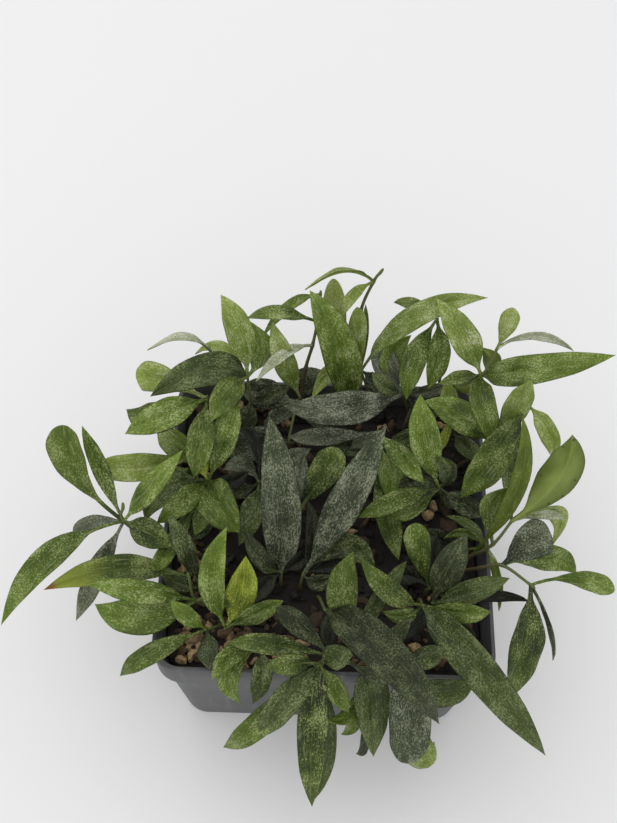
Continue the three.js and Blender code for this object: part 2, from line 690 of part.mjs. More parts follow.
const plant = new THREE.Group();
plant.name = "potted_splash_hoya_parviflora";
addMesh(plant, "pot", buildPot(), { color: 0x2b2c2e, roughness: 0.55, metalness: 0 });
addMesh(plant, "substrate", buildSubstrate(), { color: 0x3a3029, roughness: 0.95, metalness: 0 });
const LEAF_GREENS = [0x5f7d3c, 0x6b8a45, 0x54703a];
CUTTINGS.forEach((cutting, index) => {
  const color = LEAF_GREENS[index % LEAF_GREENS.length];
  addMesh(plant, cutting.name, buildCutting(cutting), { color, roughness: 0.42, metalness: 0 });
});

export default plant;
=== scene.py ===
import math
import random

import bmesh
import bpy
from mathutils import Matrix, Quaternion, Vector, noise


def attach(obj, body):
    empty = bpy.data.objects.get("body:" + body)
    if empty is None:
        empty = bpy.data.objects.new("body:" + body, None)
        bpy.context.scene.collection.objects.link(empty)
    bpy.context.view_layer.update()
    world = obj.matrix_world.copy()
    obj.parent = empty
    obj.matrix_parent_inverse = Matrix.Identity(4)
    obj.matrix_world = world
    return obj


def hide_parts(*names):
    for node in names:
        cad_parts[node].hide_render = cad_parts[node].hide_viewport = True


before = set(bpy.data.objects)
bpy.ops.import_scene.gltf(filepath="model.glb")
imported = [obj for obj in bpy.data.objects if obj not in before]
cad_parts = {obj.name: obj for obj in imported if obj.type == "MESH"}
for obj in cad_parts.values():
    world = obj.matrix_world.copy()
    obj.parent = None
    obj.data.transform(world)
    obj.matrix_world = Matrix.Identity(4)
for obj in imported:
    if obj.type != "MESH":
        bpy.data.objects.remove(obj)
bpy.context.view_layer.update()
scene = bpy.context.scene

# The pot: a square nursery pot of thin black polypropylene, injection moulded in one piece.
# It tapers towards its foot so that pots nest, with a stiffening collar below the rim and
# eight round drain holes in its floor. Sizes here and below are in millimetres.
MM = 0.001
RIM_WIDTH = 150
BASE_WIDTH = 134
POT_HEIGHT = 85
COLLAR_HEIGHT = 18
COLLAR_STEP = 2.6
COLLAR_SLOPE = 0.5
COLLAR_FILLET = 0.4
CORNER_RADIUS = 11.7
CORNER_STEPS = 14
WALL = 1.8
FLOOR = 2.4
LIP_ROUND = 0.5
FOOT_ROUND = 0.8
# Halfway round a rounded edge, the surface stands this share of its radius inside the corner.
ROUND_INSET = 0.3
DRAIN_RADIUS = 4
DRAIN_SPACING = 44
DRAIN_SIDES = 32
PUNCH_PAST = 1
SHARP_ANGLE = 40
COLLAR_BOTTOM = POT_HEIGHT - COLLAR_HEIGHT
NECK_WIDTH = RIM_WIDTH - 2 * COLLAR_STEP
PLASTIC = "4a4b4d"
PLASTIC_DUSTY = "5f5f5f"
PLASTIC_SCUFF = "757472"


def linear(hex_text):
    """An sRGB hex colour as linear red, green, blue and alpha."""
    parts = [int(hex_text[at:at + 2], 16) / 255 for at in (0, 2, 4)]
    return (*[part / 12.92 if part <= 0.04045 else ((part + 0.055) / 1.055) ** 2.4 for part in parts], 1)


def fill(tree, node, sockets):
    """Give a node's sockets values or links. A node given as a value links from its first output in use."""
    for socket, value in sockets.items():
        if isinstance(value, bpy.types.Node):
            value = next(output for output in value.outputs if output.enabled)
        if isinstance(value, bpy.types.NodeSocket):
            tree.links.new(value, node.inputs[socket])
        else:
            node.inputs[socket].default_value = value


def add(tree, kind, sockets=None, **settings):
    """Add a node, set its properties, and fill its sockets."""
    made = tree.nodes.new("ShaderNode" + kind)
    for setting, value in settings.items():
        setattr(made, setting, value)
    fill(tree, made, sockets or {})
    return made


def new_material(name):
    """A material, its node tree and its surface shader."""
    material = bpy.data.materials.new(name)
    material.use_nodes = True
    return material, material.node_tree, material.node_tree.nodes["Principled BSDF"]


def make_piece(name, points, faces, materials, picks=None):
    """A smooth mesh object. picks holds a material number for each face."""
    mesh = bpy.data.meshes.new(name)
    mesh.from_pydata([Vector(point) * MM for point in points], [], faces)
    for material in materials:
        mesh.materials.append(material)
    if picks:
        mesh.polygons.foreach_set("material_index", picks)
    mesh.polygons.foreach_set("use_smooth", [True] * len(faces))
    mesh.update()
    piece = bpy.data.objects.new(name, mesh)
    scene.collection.objects.link(piece)
    return piece


def rounded_square(width, z):
    """A square with round corners at one height, counter-clockwise."""
    centre = width / 2 - CORNER_RADIUS
    ring = []
    for corner in range(4):
        towards = math.pi / 4 + corner * math.pi / 2
        for step in range(CORNER_STEPS + 1):
            angle = towards - math.pi / 4 + step / CORNER_STEPS * math.pi / 2
            ring.append((
                math.copysign(centre, math.cos(towards)) + math.cos(angle) * CORNER_RADIUS,
                math.copysign(centre, math.sin(towards)) + math.sin(angle) * CORNER_RADIUS,
                z,
            ))
    return ring


def join_rings(rings, start=0):
    """Quads between rings of equal size."""
    size = len(rings[0])
    faces = []
    for row in range(len(rings) - 1):
        for step in range(size):
            after = (step + 1) % size
            low = start + row * size
            faces.append((low + step, low + after, low + size + after, low + size + step))
    return faces


def end_caps(start, end, size):
    """The faces that close the first and last ring of the points from start to end."""
    return [tuple(reversed(range(start, start + size))), tuple(range(end - size, end))]


def wall_width(z):
    """Outer width of the wall at a height below the collar."""
    return BASE_WIDTH + (NECK_WIDTH - BASE_WIDTH) * z / COLLAR_BOTTOM


inside_rim = RIM_WIDTH - 2 * WALL
inside_foot = wall_width(FLOOR) - 2 * WALL
pot_rings = [rounded_square(width, z) for width, z in [
    (BASE_WIDTH - 2 * FOOT_ROUND, 0),
    (BASE_WIDTH - 2 * ROUND_INSET * FOOT_ROUND, ROUND_INSET * FOOT_ROUND),
    (wall_width(FOOT_ROUND), FOOT_ROUND),
    (wall_width(COLLAR_BOTTOM / 3), COLLAR_BOTTOM / 3),
    (wall_width(COLLAR_BOTTOM * 2 / 3), COLLAR_BOTTOM * 2 / 3),
    (wall_width(COLLAR_BOTTOM) - COLLAR_FILLET, COLLAR_BOTTOM - 2 * COLLAR_FILLET),
    (NECK_WIDTH + COLLAR_FILLET, COLLAR_BOTTOM),
    (RIM_WIDTH - 3 * COLLAR_SLOPE, COLLAR_BOTTOM + COLLAR_FILLET / 2),
    (RIM_WIDTH - 2 * COLLAR_SLOPE, COLLAR_BOTTOM + COLLAR_SLOPE),
    (RIM_WIDTH - COLLAR_SLOPE, COLLAR_BOTTOM + COLLAR_HEIGHT / 2),
    (RIM_WIDTH, POT_HEIGHT - LIP_ROUND),
    (RIM_WIDTH - 2 * ROUND_INSET * LIP_ROUND, POT_HEIGHT - ROUND_INSET * LIP_ROUND),
    (RIM_WIDTH - 2 * LIP_ROUND, POT_HEIGHT),
    (inside_rim + 2 * LIP_ROUND, POT_HEIGHT),
    (inside_rim + 2 * ROUND_INSET * LIP_ROUND, POT_HEIGHT - ROUND_INSET * LIP_ROUND),
    (inside_rim, POT_HEIGHT - LIP_ROUND),
    (wall_width(COLLAR_BOTTOM) - 2 * WALL, COLLAR_BOTTOM),
    (inside_foot, FLOOR + FOOT_ROUND),
    (inside_foot - 2 * FOOT_ROUND, FLOOR),
]]
pot_points = [point for ring in pot_rings for point in ring]
pot_faces = join_rings(pot_rings) + end_caps(0, len(pot_points), len(pot_rings[0]))


def polypropylene():
    """Black moulded polypropylene: satin grey-black with a faint pebble, handling scuffs and lime dust."""
    material, tree, shader = new_material("moulded_black_polypropylene")
    place = add(tree, "TexCoord").outputs["Object"]

    # The dust lies in clouds about 22 mm across. The scuffs are 4 mm wide and run 33 mm up the wall.
    dust = add(tree, "TexNoise", {"Vector": place, "Scale": 45, "Detail": 6, "Roughness": 0.65})
    stretched = add(tree, "Mapping", {"Vector": place, "Scale": (260, 260, 30)})
    scuff = add(tree, "TexNoise", {"Vector": stretched, "Scale": 1, "Detail": 3})
    dusty = add(tree, "MapRange", {"Value": dust, "From Min": 0.42, "From Max": 0.78})
    scuffed = add(tree, "MapRange", {"Value": scuff, "From Min": 0.58, "From Max": 0.74})
    plain = add(tree, "Mix", {0: dusty, 6: linear(PLASTIC), 7: linear(PLASTIC_DUSTY)}, data_type="RGBA")
    worn = add(tree, "Math", {0: scuffed, 1: 0.35}, operation="MULTIPLY")
    colour = add(tree, "Mix", {0: worn, 6: plain, 7: linear(PLASTIC_SCUFF)}, data_type="RGBA")
    rough = add(tree, "MapRange", {"Value": dust, "To Min": 0.4, "To Max": 0.62})

    # The mould's pebble is about 0.4 mm across on the real pot; it is drawn at 0.9 mm so that it shows.
    pebble = add(tree, "TexNoise", {"Vector": place, "Scale": 1 / (0.9 * MM), "Detail": 2})
    relief = add(tree, "Bump", {"Height": pebble, "Strength": 0.25, "Distance": 0.0001})
    fill(tree, shader, {"Base Color": colour, "Roughness": rough, "Normal": relief, "IOR": 1.49})
    return material


pot = make_piece("nursery_pot", pot_points, pot_faces, [polypropylene()])

drain_points = []
drain_faces = []
for column in (-1, 0, 1):
    for row in (-1, 0, 1):
        if column == row == 0:
            continue
        start = len(drain_points)
        for z in (-PUNCH_PAST, FLOOR + PUNCH_PAST):
            for side in range(DRAIN_SIDES):
                angle = side / DRAIN_SIDES * 2 * math.pi
                drain_points.append((
                    column * DRAIN_SPACING + math.cos(angle) * DRAIN_RADIUS,
                    row * DRAIN_SPACING + math.sin(angle) * DRAIN_RADIUS,
                    z,
                ))
        drain_faces.extend(end_caps(start, len(drain_points), DRAIN_SIDES))
        drain_faces.extend(join_rings([range(DRAIN_SIDES)] * 2, start))
drains = make_piece("drain_punches", drain_points, drain_faces, [])
cut = pot.modifiers.new("drains", "BOOLEAN")
cut.object = drains
cut.solver = "EXACT"
drained = bpy.data.meshes.new_from_object(pot.evaluated_get(bpy.context.evaluated_depsgraph_get()))
pot.modifiers.clear()
pot.data = drained
bpy.data.objects.remove(drains)
drained.polygons.foreach_set("use_smooth", [True] * len(drained.polygons))
drained.set_sharp_from_angle(angle=math.radians(SHARP_ANGLE))
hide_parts("pot")
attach(pot, "root")

# The substrate: a root ball of bark chips, fired clay crumbs and peat that fills the pot.
# Peat and shade make most of it nearly black, part of that shade painted into the crumbs towards the
# middle; the chips near the rim are tan and grey.
SOIL_TOP = 72
SOIL_GAP = 0.4
SOIL_SWELL = 1.2
SOIL_RINGS = 46
HUMPS_PER_MM = 0.09
LUMPS_PER_MM = 0.6
LUMP_HEIGHT = 0.7
CRUMB_COUNT = 900
CRUMB_SMALLEST = 1.2
CRUMB_LARGEST = 3.3
CRUMB_EDGE = 67
CRUMB_SEED = 8
# Exponents under 1 crowd the crumbs towards the walls, and those over 1 make more of them small.
CRUMB_CROWDING = 0.75
CRUMB_FINENESS = 1.4
# A chip is longer than wide and flat: the least and most of its length, width and height.
CHIP_SHAPE = [(1, 1.7), (0.7, 1.1), (0.45, 0.8)]
CHIP_LUMP = 0.5
CHIP_LUMPS = 1.9
# A crumb's grain runs from 0, wet peat, through brown bark to 1, tan clay.
PEAT_GRAIN = 0.05
TAN_GRAIN = 0.85
TAN_EVERY = 12
# Inside this share of the way to the wall the crumbs carry painted shade, which lifts over the next span.
SHADE_LIFTS_FROM = 0.6
SHADE_LIFT_SPAN = 0.3
PEAT = "2c2825"
BARK = "6b5843"
CLAY = "bda27a"

soil_inset = 2 * (WALL + SOIL_GAP)
ball_width = wall_width(COLLAR_BOTTOM) - soil_inset
rim_ring = rounded_square(ball_width, SOIL_TOP)
soil_points = rounded_square(wall_width(FLOOR) - soil_inset, FLOOR + SOIL_GAP)
soil_points.extend(rounded_square(ball_width, COLLAR_BOTTOM))

# The top: shrinking rings that rise in humps about 11 mm across, with smaller lumps.
for row in range(SOIL_RINGS):
    share = 1 - row / SOIL_RINGS
    for x, y, z in rim_ring:
        spot = Vector((x * share, y * share, 0))
        rise = noise.fractal(spot * HUMPS_PER_MM, 0.8, 2.1, 4) * 2 * SOIL_SWELL
        rise += noise.noise(spot * LUMPS_PER_MM) * LUMP_HEIGHT
        soil_points.append((spot.x, spot.y, z + rise))
soil_ring = len(rim_ring)
soil_faces = join_rings([range(soil_ring)] * (SOIL_RINGS + 2)) + end_caps(0, len(soil_points), soil_ring)
smooth_faces = len(soil_faces)
grains = [PEAT_GRAIN] * len(soil_points)

draw = random.Random(CRUMB_SEED)
ball = bmesh.new()
bmesh.ops.create_icosphere(ball, subdivisions=2, radius=1)
ball_points = [vertex.co.copy() for vertex in ball.verts]
ball_faces = [tuple(vertex.index for vertex in face.verts) for face in ball.faces]
ball.free()
for crumb in range(CRUMB_COUNT):
    x, y = [math.copysign(CRUMB_EDGE * abs(place) ** CRUMB_CROWDING, place)
            for place in (draw.uniform(-1, 1), draw.uniform(-1, 1))]
    size = CRUMB_SMALLEST + (CRUMB_LARGEST - CRUMB_SMALLEST) * draw.random() ** CRUMB_FINENESS

    # The crumbs turn to dark peat towards the middle and the back right, as painted shade under the leaves.
    # Along the walls, and most in the corner at the front left, more of them are tan bark and clay.
    edge_tan_and_centre_shade = min(max((max(abs(x), abs(y)) / CRUMB_EDGE - SHADE_LIFTS_FROM) / SHADE_LIFT_SPAN, 0), 1)
    edge_tan_and_centre_shade *= min(max(0.4 - (x + y) / CRUMB_EDGE * 0.35, 0), 1)
    grain = draw.random() * (0.5 + 0.45 * edge_tan_and_centre_shade) + 0.3 * edge_tan_and_centre_shade
    if crumb % TAN_EVERY == 0:
        grain = max(grain, TAN_GRAIN)
    stretch = Vector([draw.uniform(*span) for span in CHIP_SHAPE]) * size
    axis = Vector([draw.gauss(0, 1) for number in range(3)]).normalized()
    turn = Quaternion(axis, draw.uniform(0, 2 * math.pi))
    centre = Vector((x, y, SOIL_TOP + size * draw.uniform(0.1, 0.9)))
    start = len(soil_points)
    for point in ball_points:
        lumpy = point * (1 + CHIP_LUMP * noise.noise(point * CHIP_LUMPS + Vector((crumb, 0, 0))))
        soil_points.append(tuple(centre + turn @ (lumpy * stretch)))
        grains.append(grain)
    soil_faces.extend(tuple(start + corner for corner in face) for face in ball_faces)


def bark_and_peat():
    """Damp bark, clay and peat: matt and crumbly, near black in the hollows, tan on the clay chips. Its
    grain layer carries painted shade towards the middle of the pot.
    """
    material, tree, shader = new_material("damp_bark_clay_and_peat")
    place = add(tree, "TexCoord").outputs["Object"]
    grain = add(tree, "Attribute", attribute_name="grain").outputs["Fac"]

    # The crumble inside a chip is about 1.4 mm across.
    fine = add(tree, "TexNoise", {"Vector": place, "Scale": 1 / (1.4 * MM), "Detail": 5, "Roughness": 0.7})
    brown = add(tree, "MapRange", {"Value": grain, "From Min": 0.3, "From Max": 0.6})
    tan = add(tree, "MapRange", {"Value": grain, "From Min": 0.8, "From Max": 0.86})
    dark = add(tree, "Mix", {0: brown, 6: linear(PEAT), 7: linear(BARK)}, data_type="RGBA")
    dry = add(tree, "Mix", {0: tan, 6: dark, 7: linear(CLAY)}, data_type="RGBA")
    speck = add(tree, "MapRange", {"Value": fine, "From Min": 0.22, "From Max": 0.52})
    colour = add(tree, "Mix", {0: speck, 6: linear(PEAT), 7: dry}, data_type="RGBA")
    relief = add(tree, "Bump", {"Height": fine, "Strength": 0.7, "Distance": 0.0006})
    fill(tree, shader, {
        "Base Color": colour, "Normal": relief, "Roughness": 0.95, "Specular IOR Level": 0.25,
    })
    return material


substrate = make_piece("bark_substrate", soil_points, soil_faces, [bark_and_peat()])
grain_layer = substrate.data.attributes.new("grain", "FLOAT", "POINT")
grain_layer.data.foreach_set("value", grains)
substrate.data.polygons.foreach_set("use_smooth", [face < smooth_faces for face in range(len(soil_faces))])
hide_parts("substrate")
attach(substrate, "root")

# The cuttings: rooted lengths of vine, each a thin woody stem with swollen joints, green
# leaf stalks and thick waxy leaves in pairs. Some trail over the rim and some stand in the shade.

# For each: the stem's bends from the soil up, then its leaves as (bend it grows from, middle
# of the blade, tip, width, roll in degrees, outline, tone of its upper face).
# The pale, shaded and plain tones paint light and shade onto the leaves that carry them.
CUTTINGS = {
    "left": ([(-56, -18, 73), (-75, -20, 92), (-90, -15, 106), (-90, -11, 112)], [
        (2, (-109, -2, 122), (-119, 19, 130), 15, 0, "spoon", "middle"),
        (2, (-102, 5, 117), (-110, 21, 127), 8, 25, "folded", "bright"),
        (2, (-120, -33, 106), (-142, -57, 84), 12, 0, "stalked", "bright"),
        (2, (-103, -12, 98), (-115, -14, 92), 8, 30, "rounded", "hoary"),
        (2, (-102, -33, 88), (-112, -49, 72), 11, 20, "pointed", "hoary"),
        (2, (-77, -8, 124), (-63, 5, 136), 10, -10, "pointed", "bright"),
        (2, (-79, -20, 106), (-68, -25, 102), 13, 0, "pointed", "middle"),
    ]),
    "left_low": ([(-46, -43, 73), (-57, -44, 88), (-60, -37, 98)], [
        (2, (-91, -35, 99), (-124, -43, 92), 13, 10, "pointed", "middle"),
        (1, (-79, -48, 107), (-102, -45, 104), 11, -10, "pointed", "bright"),
        (1, (-79, -55, 94), (-101, -48, 90), 16, 15, "pointed", "bright"),
        (1, (-47, -46, 94), (-40, -51, 99), 7, 0, "small", "middle"),
    ]),
    "front_left": ([(-43, -51, 73), (-51, -58, 90)], [
        (1, (-73, -73, 99), (-87, -78, 84), 9, 0, "pointed", "middle"),
        (1, (-49, -69, 93), (-49, -76, 90), 10, 15, "pointed", "dark"),
        (1, (-59, -56, 100), (-66, -51, 104), 8, 10, "small", "bright"),
    ]),
    "front_left_low": ([(-20, -56, 73), (-27, -64, 87)], [
        (1, (-39, -71, 94), (-47, -81, 91), 9, 20, "folded", "middle"),
        (1, (-40, -77, 90), (-35, -86, 76), 10, -10, "pointed", "bright"),
        (1, (-26, -78, 90), (-30, -86, 76), 9, 0, "pointed", "olive"),
    ]),
    "front_mid": ([(0, -55, 73), (3, -70, 95), (-2, -74, 97)], [
        (1, (-16, -91, 97), (-25, -102, 82), 13, -10, "pointed", "olive"),
        (2, (-4, -102, 88), (-3, -124, 58), 13, 0, "broad", "middle"),
        (2, (3, -98, 70), (-2, -118, 44), 9, 20, "small", "olive"),
        (1, (-23, -68, 101), (-41, -67, 98), 9, 15, "pointed", "middle"),
        (1, (-12, -59, 104), (-21, -54, 108), 10, 0, "pointed", "dark"),
        (1, (2, -59, 98), (7, -51, 104), 8, -10, "small", "shaded"),
        (2, (-25, -97, 88), (-42, -102, 66), 11, 10, "pointed", "middle"),
        (2, (-14, -78, 106), (-24, -78, 100), 10, -15, "pointed", "middle"),
        (2, (5, -74, 106), (12, -74, 108), 11, 0, "pointed", "olive"),
        (2, (5, -85, 96), (11, -93, 92), 9, -10, "pointed", "middle"),
    ]),
    "front_star": ([(13, -46, 73), (11, -64, 92), (10, -74, 100)], [
        (1, (7, -45, 106), (11, -35, 124), 14, 0, "pointed", "middle"),
        (2, (21, -77, 93), (32, -79, 88), 6, 25, "small", "dark"),
        (1, (24, -45, 102), (35, -30, 106), 9, 20, "small", "olive"),
    ]),
    "front_big": ([(-3, -36, 73), (0, -52, 102)], [
        (1, (24, -80, 128), (48, -98, 96), 17, 0, "broad", "dark"),
    ]),
    "front_hang": ([(24, -60, 73), (21, -71, 90), (18, -74, 92)], [
        (2, (21, -85, 80), (23, -103, 62), 16, -10, "broad", "olive"),
        (2, (13, -88, 76), (1, -96, 90), 7, 10, "small", "bright"),
        (2, (15, -89, 70), (9, -93, 60), 6, 0, "small", "bright"),
        (2, (20, -95, 66), (16, -99, 52), 6, 50, "small", "dark"),
        (1, (29, -63, 98), (37, -55, 104), 8, 10, "small", "dark"),
    ]),
    "front_round": ([(35, -58, 73), (32, -75, 91)], [
        (1, (37, -91, 84), (36, -107, 68), 18, 0, "oval", "silver"),
        (1, (43, -98, 58), (50, -95, 60), 14, 0, "pointed", "pale"),
        (1, (43, -71, 100), (51, -69, 103), 10, 0, "pointed", "olive"),
        (1, (50, -83, 89), (65, -76, 94), 12, -20, "pointed", "olive"),
    ]),
    "front_right": ([(43, -36, 73), (42, -47, 98)], [
        (1, (66, -78, 102), (95, -104, 76), 16, 10, "broad", "olive"),
        (1, (27, -47, 112), (14, -36, 122), 10, 0, "pointed", "middle"),
        (1, (58, -53, 106), (70, -53, 108), 9, 10, "pointed", "middle"),
        (1, (34, -53, 100), (25, -51, 100), 7, 0, "small", "middle"),
    ]),
    "right_low": ([(60, -23, 73), (69, -26, 92), (78, -27, 98), (90, -36, 98)], [
        (3, (108, -34, 102), (128, -35, 92), 9, 0, "spoon", "bright"),
        (3, (88, -58, 84), (84, -76, 62), 17, -20, "pointed", "middle"),
        (3, (100, -50, 84), (103, -60, 70), 4, 65, "small", "silver"),
        (2, (87, -21, 106), (98, -14, 108), 17, 0, "rounded", "silver"),
        (2, (100, -19, 92), (114, -24, 84), 13, 20, "pointed", "bright"),
    ]),
    "right_tall": ([(64, -18, 73), (66, -17, 84), (74, -18, 100), (81, -12, 112)], [
        (3, (98, -2, 134), (101, 9, 152), 17, 180, "pointed", "under"),
        (1, (81, -4, 128), (81, 19, 150), 8, 0, "small", "plain"),
        (2, (74, -1, 104), (80, 2, 116), 13, 10, "pointed", "middle"),
        (3, (103, -2, 102), (104, -10, 82), 9, 20, "small", "pale"),
        (3, (82, 14, 107), (84, 28, 116), 11, 30, "pointed", "middle"),
        (3, (97, -5, 106), (106, -6, 102), 5, 20, "small", "frosted"),
    ]),
    "right_back": ([(63, 34, 73), (78, 33, 100), (90, 43, 121)], [
        (2, (98, 29, 122), (104, 22, 106), 9, 20, "small", "pale"),
        (1, (85, 41, 124), (89, 44, 139), 12, 0, "pointed", "pale"),
        (2, (74, 18, 116), (61, 6, 98), 17, -10, "pointed", "middle"),
        (1, (62, 42, 110), (44, 48, 114), 15, 0, "pointed", "bright"),
    ]),
    "right_arch": ([(63, -12, 73), (72, -16, 93)], [
        (1, (66, -5, 91), (54, -3, 97), 5, 20, "small", "olive"),
        (1, (77, -28, 91), (79, -40, 77), 7, 60, "small", "pale"),
        (1, (64, -7, 88), (54, -9, 86), 5, -20, "small", "middle"),
        (0, (53, -8, 82), (44, -3, 82), 9, 0, "small", "shaded"),
    ]),
    "mid_right_low": ([(53, -41, 73), (48, -42, 88)], [
        (1, (53, -31, 102), (61, -19, 112), 15, 10, "pointed", "dark"),
        (1, (63, -40, 98), (81, -33, 98), 11, 0, "pointed", "olive"),
        (1, (72, -38, 90), (92, -38, 84), 6, 20, "small", "shaded"),
        (1, (58, -55, 92), (66, -62, 90), 10, 0, "pointed", "shaded"),
        (1, (40, -52, 90), (32, -59, 88), 8, 0, "small", "shaded"),
    ]),
    "mid_right_round": ([(46, -32, 73), (47, -33, 84)], [
        (1, (42, -23, 97), (39, -11, 105), 12, -10, "rounded", "middle"),
        (1, (49, -23, 88), (50, -11, 94), 8, 25, "small", "shaded"),
        (1, (36, -26, 82), (28, -33, 80), 10, 0, "small", "shaded"),
    ]),
    "mid_right": ([(55, 13, 73), (52, 14, 92)], [
        (1, (44, 29, 110), (41, 45, 124), 15, 0, "pointed", "bright"),
        (1, (30, 0, 104), (14, -7, 100), 10, -10, "pointed", "middle"),
        (1, (39, 2, 92), (30, 0, 88), 8, 15, "small", "middle"),
        (1, (55, 18, 98), (49, 23, 106), 11, 30, "small", "olive"),
        (1, (42, 16, 94), (33, 13, 93), 11, 20, "small", "dark"),
        (1, (65, 7, 88), (73, 1, 90), 10, 0, "pointed", "dark"),
        (1, (44, 11, 97), (35, 11, 94), 8, 10, "small", "dark"),
        (1, (59, 12, 84), (68, 19, 84), 9, 0, "small", "dark"),
    ]),
    "mid_top": ([(29, 33, 73), (25, 35, 90), (23, 36, 104)], [
        (2, (34, 21, 106), (44, 12, 100), 10, 0, "pointed", "bright"),
        (1, (30, 20, 92), (28, 9, 86), 13, 0, "pointed", "bright"),
        (1, (28, 5, 84), (34, -17, 78), 13, -15, "pointed", "middle"),
        (2, (-3, 36, 98), (-19, 38, 94), 9, 10, "pointed", "hoary"),
        (1, (13, 37, 88), (1, 38, 86), 10, 0, "pointed", "dark"),
        (1, (14, 28, 84), (5, 19, 80), 10, 0, "pointed", "shaded"),
        (1, (18, 37, 94), (11, 35, 90), 9, 0, "small", "hoary"),
        (1, (37, 43, 86), (47, 50, 84), 9, 0, "small", "middle"),
    ]),
    "mid_diag": ([(-11, -31, 73), (-10, -29, 85)], [
        (1, (8, -4, 110), (25, 26, 128), 16, 0, "pointed", "silver"),
        (1, (-6, -15, 92), (-9, 3, 98), 8, 20, "small", "shaded"),
        (1, (9, -17, 92), (23, -28, 82), 12, 0, "pointed", "olive"),
        (1, (-3, -32, 84), (6, -27, 82), 8, 0, "small", "dark"),
        (1, (5, -21, 84), (14, -15, 82), 10, 0, "small", "shaded"),
    ]),
    "mid_tall": ([(-20, -30, 73), (-20, -28, 84)], [
        (1, (-21, -3, 110), (-27, 27, 130), 18, 0, "broad", "silver"),
        (1, (-29, -25, 92), (-37, -12, 96), 9, 20, "small", "dark"),
        (1, (-11, -22, 86), (-4, -17, 88), 8, 10, "small", "shaded"),
        (1, (-28, -35, 84), (-33, -44, 84), 9, 0, "small", "shaded"),
    ]),
    "mid_round": ([(-16, -1, 73), (-13, 1, 88)], [
        (1, (-4, 12, 100), (5, 24, 108), 15, 0, "rounded", "middle"),
        (1, (-6, -2, 86), (2, -6, 84), 10, 0, "pointed", "shaded"),
        (1, (-13, 16, 92), (-11, 30, 94), 8, 20, "small", "hoary"),
    ]),
    "left_front": ([(-40, -48, 73), (-43, -56, 87)], [
        (1, (-37, -42, 94), (-35, -31, 108), 14, 10, "pointed", "young"),
        (1, (-48, -42, 108), (-43, -23, 120), 12, -10, "folded", "bright"),
        (1, (-29, -52, 96), (-18, -47, 98), 9, 10, "pointed", "middle"),
    ]),
    "mid_left": ([(-50, 11, 73), (-55, 12, 96)], [
        (1, (-49, -5, 105), (-39, -15, 98), 18, 0, "broad", "middle"),
        (1, (-64, -5, 108), (-76, -14, 102), 11, -10, "pointed", "middle"),
        (1, (-48, 25, 113), (-43, 43, 118), 13, 0, "pointed", "bright"),
        (1, (-58, 18, 104), (-53, 28, 108), 7, 25, "small", "young"),
        (1, (-74, 6, 98), (-83, -7, 90), 14, 10, "pointed", "olive"),
        (1, (-70, -26, 100), (-74, -38, 109), 8, 0, "small", "middle"),
        (1, (-57, 0, 88), (-61, -10, 82), 9, 0, "pointed", "bright"),
        (1, (-45, 14, 92), (-37, 20, 92), 8, 0, "small", "shaded"),
        (0, (-57, -4, 82), (-63, -11, 80), 9, 0, "small", "dark"),
    ]),
    "left_dark": ([(-54, -37, 73), (-57, -36, 84)], [
        (1, (-62, -26, 104), (-70, -14, 112), 9, 10, "pointed", "olive"),
        (1, (-50, -26, 86), (-41, -21, 86), 8, 0, "small", "shaded"),
        (1, (-64, -37, 90), (-73, -33, 90), 8, 0, "small", "olive"),
        (1, (-64, -43, 82), (-70, -49, 80), 9, 0, "small", "shaded"),
    ]),
    "mid_left_dark": ([(-31, 15, 73), (-32, 16, 88)], [
        (1, (-34, -2, 92), (-40, -15, 84), 12, 10, "pointed", "olive"),
        (1, (-40, 25, 88), (-50, 24, 84), 9, 0, "small", "hoary"),
        (1, (-35, 33, 98), (-43, 38, 98), 6, 20, "small", "shaded"),
        (1, (-20, 26, 90), (-8, 33, 92), 10, 0, "pointed", "hoary"),
        (1, (-42, 13, 86), (-50, 20, 86), 9, 0, "small", "dark"),
    ]),
    "back_left_low": ([(-60, 30, 73), (-60, 31, 86), (-59, 38, 102), (-57, 44, 116)], [
        (3, (-74, 30, 124), (-93, 25, 114), 14, 0, "pointed", "bright"),
        (3, (-78, 35, 112), (-95, 42, 108), 16, 20, "pointed", "middle"),
        (3, (-58, 22, 116), (-61, 9, 104), 13, 0, "pointed", "middle"),
        (3, (-78, 56, 112), (-92, 58, 110), 15, 10, "rounded", "pale"),
        (1, (-89, 12, 106), (-106, 14, 106), 13, 0, "pointed", "pale"),
        (0, (-72, 34, 89), (-83, 44, 89), 13, 0, "pointed", "pale"),
        (0, (-67, 19, 85), (-74, 26, 86), 10, 0, "small", "middle"),
    ]),
    "back_left": ([(-37, 54, 73), (-38, 55, 98), (-39, 57, 116)], [
        (2, (-47, 42, 124), (-54, 29, 120), 13, 0, "pointed", "middle"),
        (2, (-58, 53, 126), (-83, 43, 118), 16, 0, "broad", "olive"),
        (2, (-42, 65, 140), (-51, 77, 152), 13, 0, "pointed", "pale"),
        (2, (-33, 70, 120), (-39, 78, 131), 14, -20, "pointed", "bright"),
        (2, (-53, 77, 110), (-66, 77, 104), 7, 20, "small", "pale"),
        (1, (-40, 48, 92), (-46, 37, 86), 11, 0, "pointed", "dark"),
        (1, (-30, 59, 96), (-19, 64, 98), 9, 10, "small", "dark"),
    ]),
    "back_left_thin": ([(-52, 64, 73), (-54, 66, 98), (-58, 74, 112)], [
        (2, (-70, 74, 122), (-88, 73, 112), 7, 50, "small", "frosted"),
    ]),
    "back_mid_left": ([
        (-14, 63, 73), (-14, 64, 87), (-12, 70, 105), (-9, 76, 116), (-7, 82, 127), (-6, 88, 140),
    ], [
        (4, (-25, 78, 138), (-40, 79, 132), 8, 25, "small", "bright"),
        (5, (-20, 87, 132), (-33, 77, 120), 6, 20, "small", "bright"),
        (3, (-22, 65, 124), (-35, 54, 116), 6, 20, "small", "frosted"),
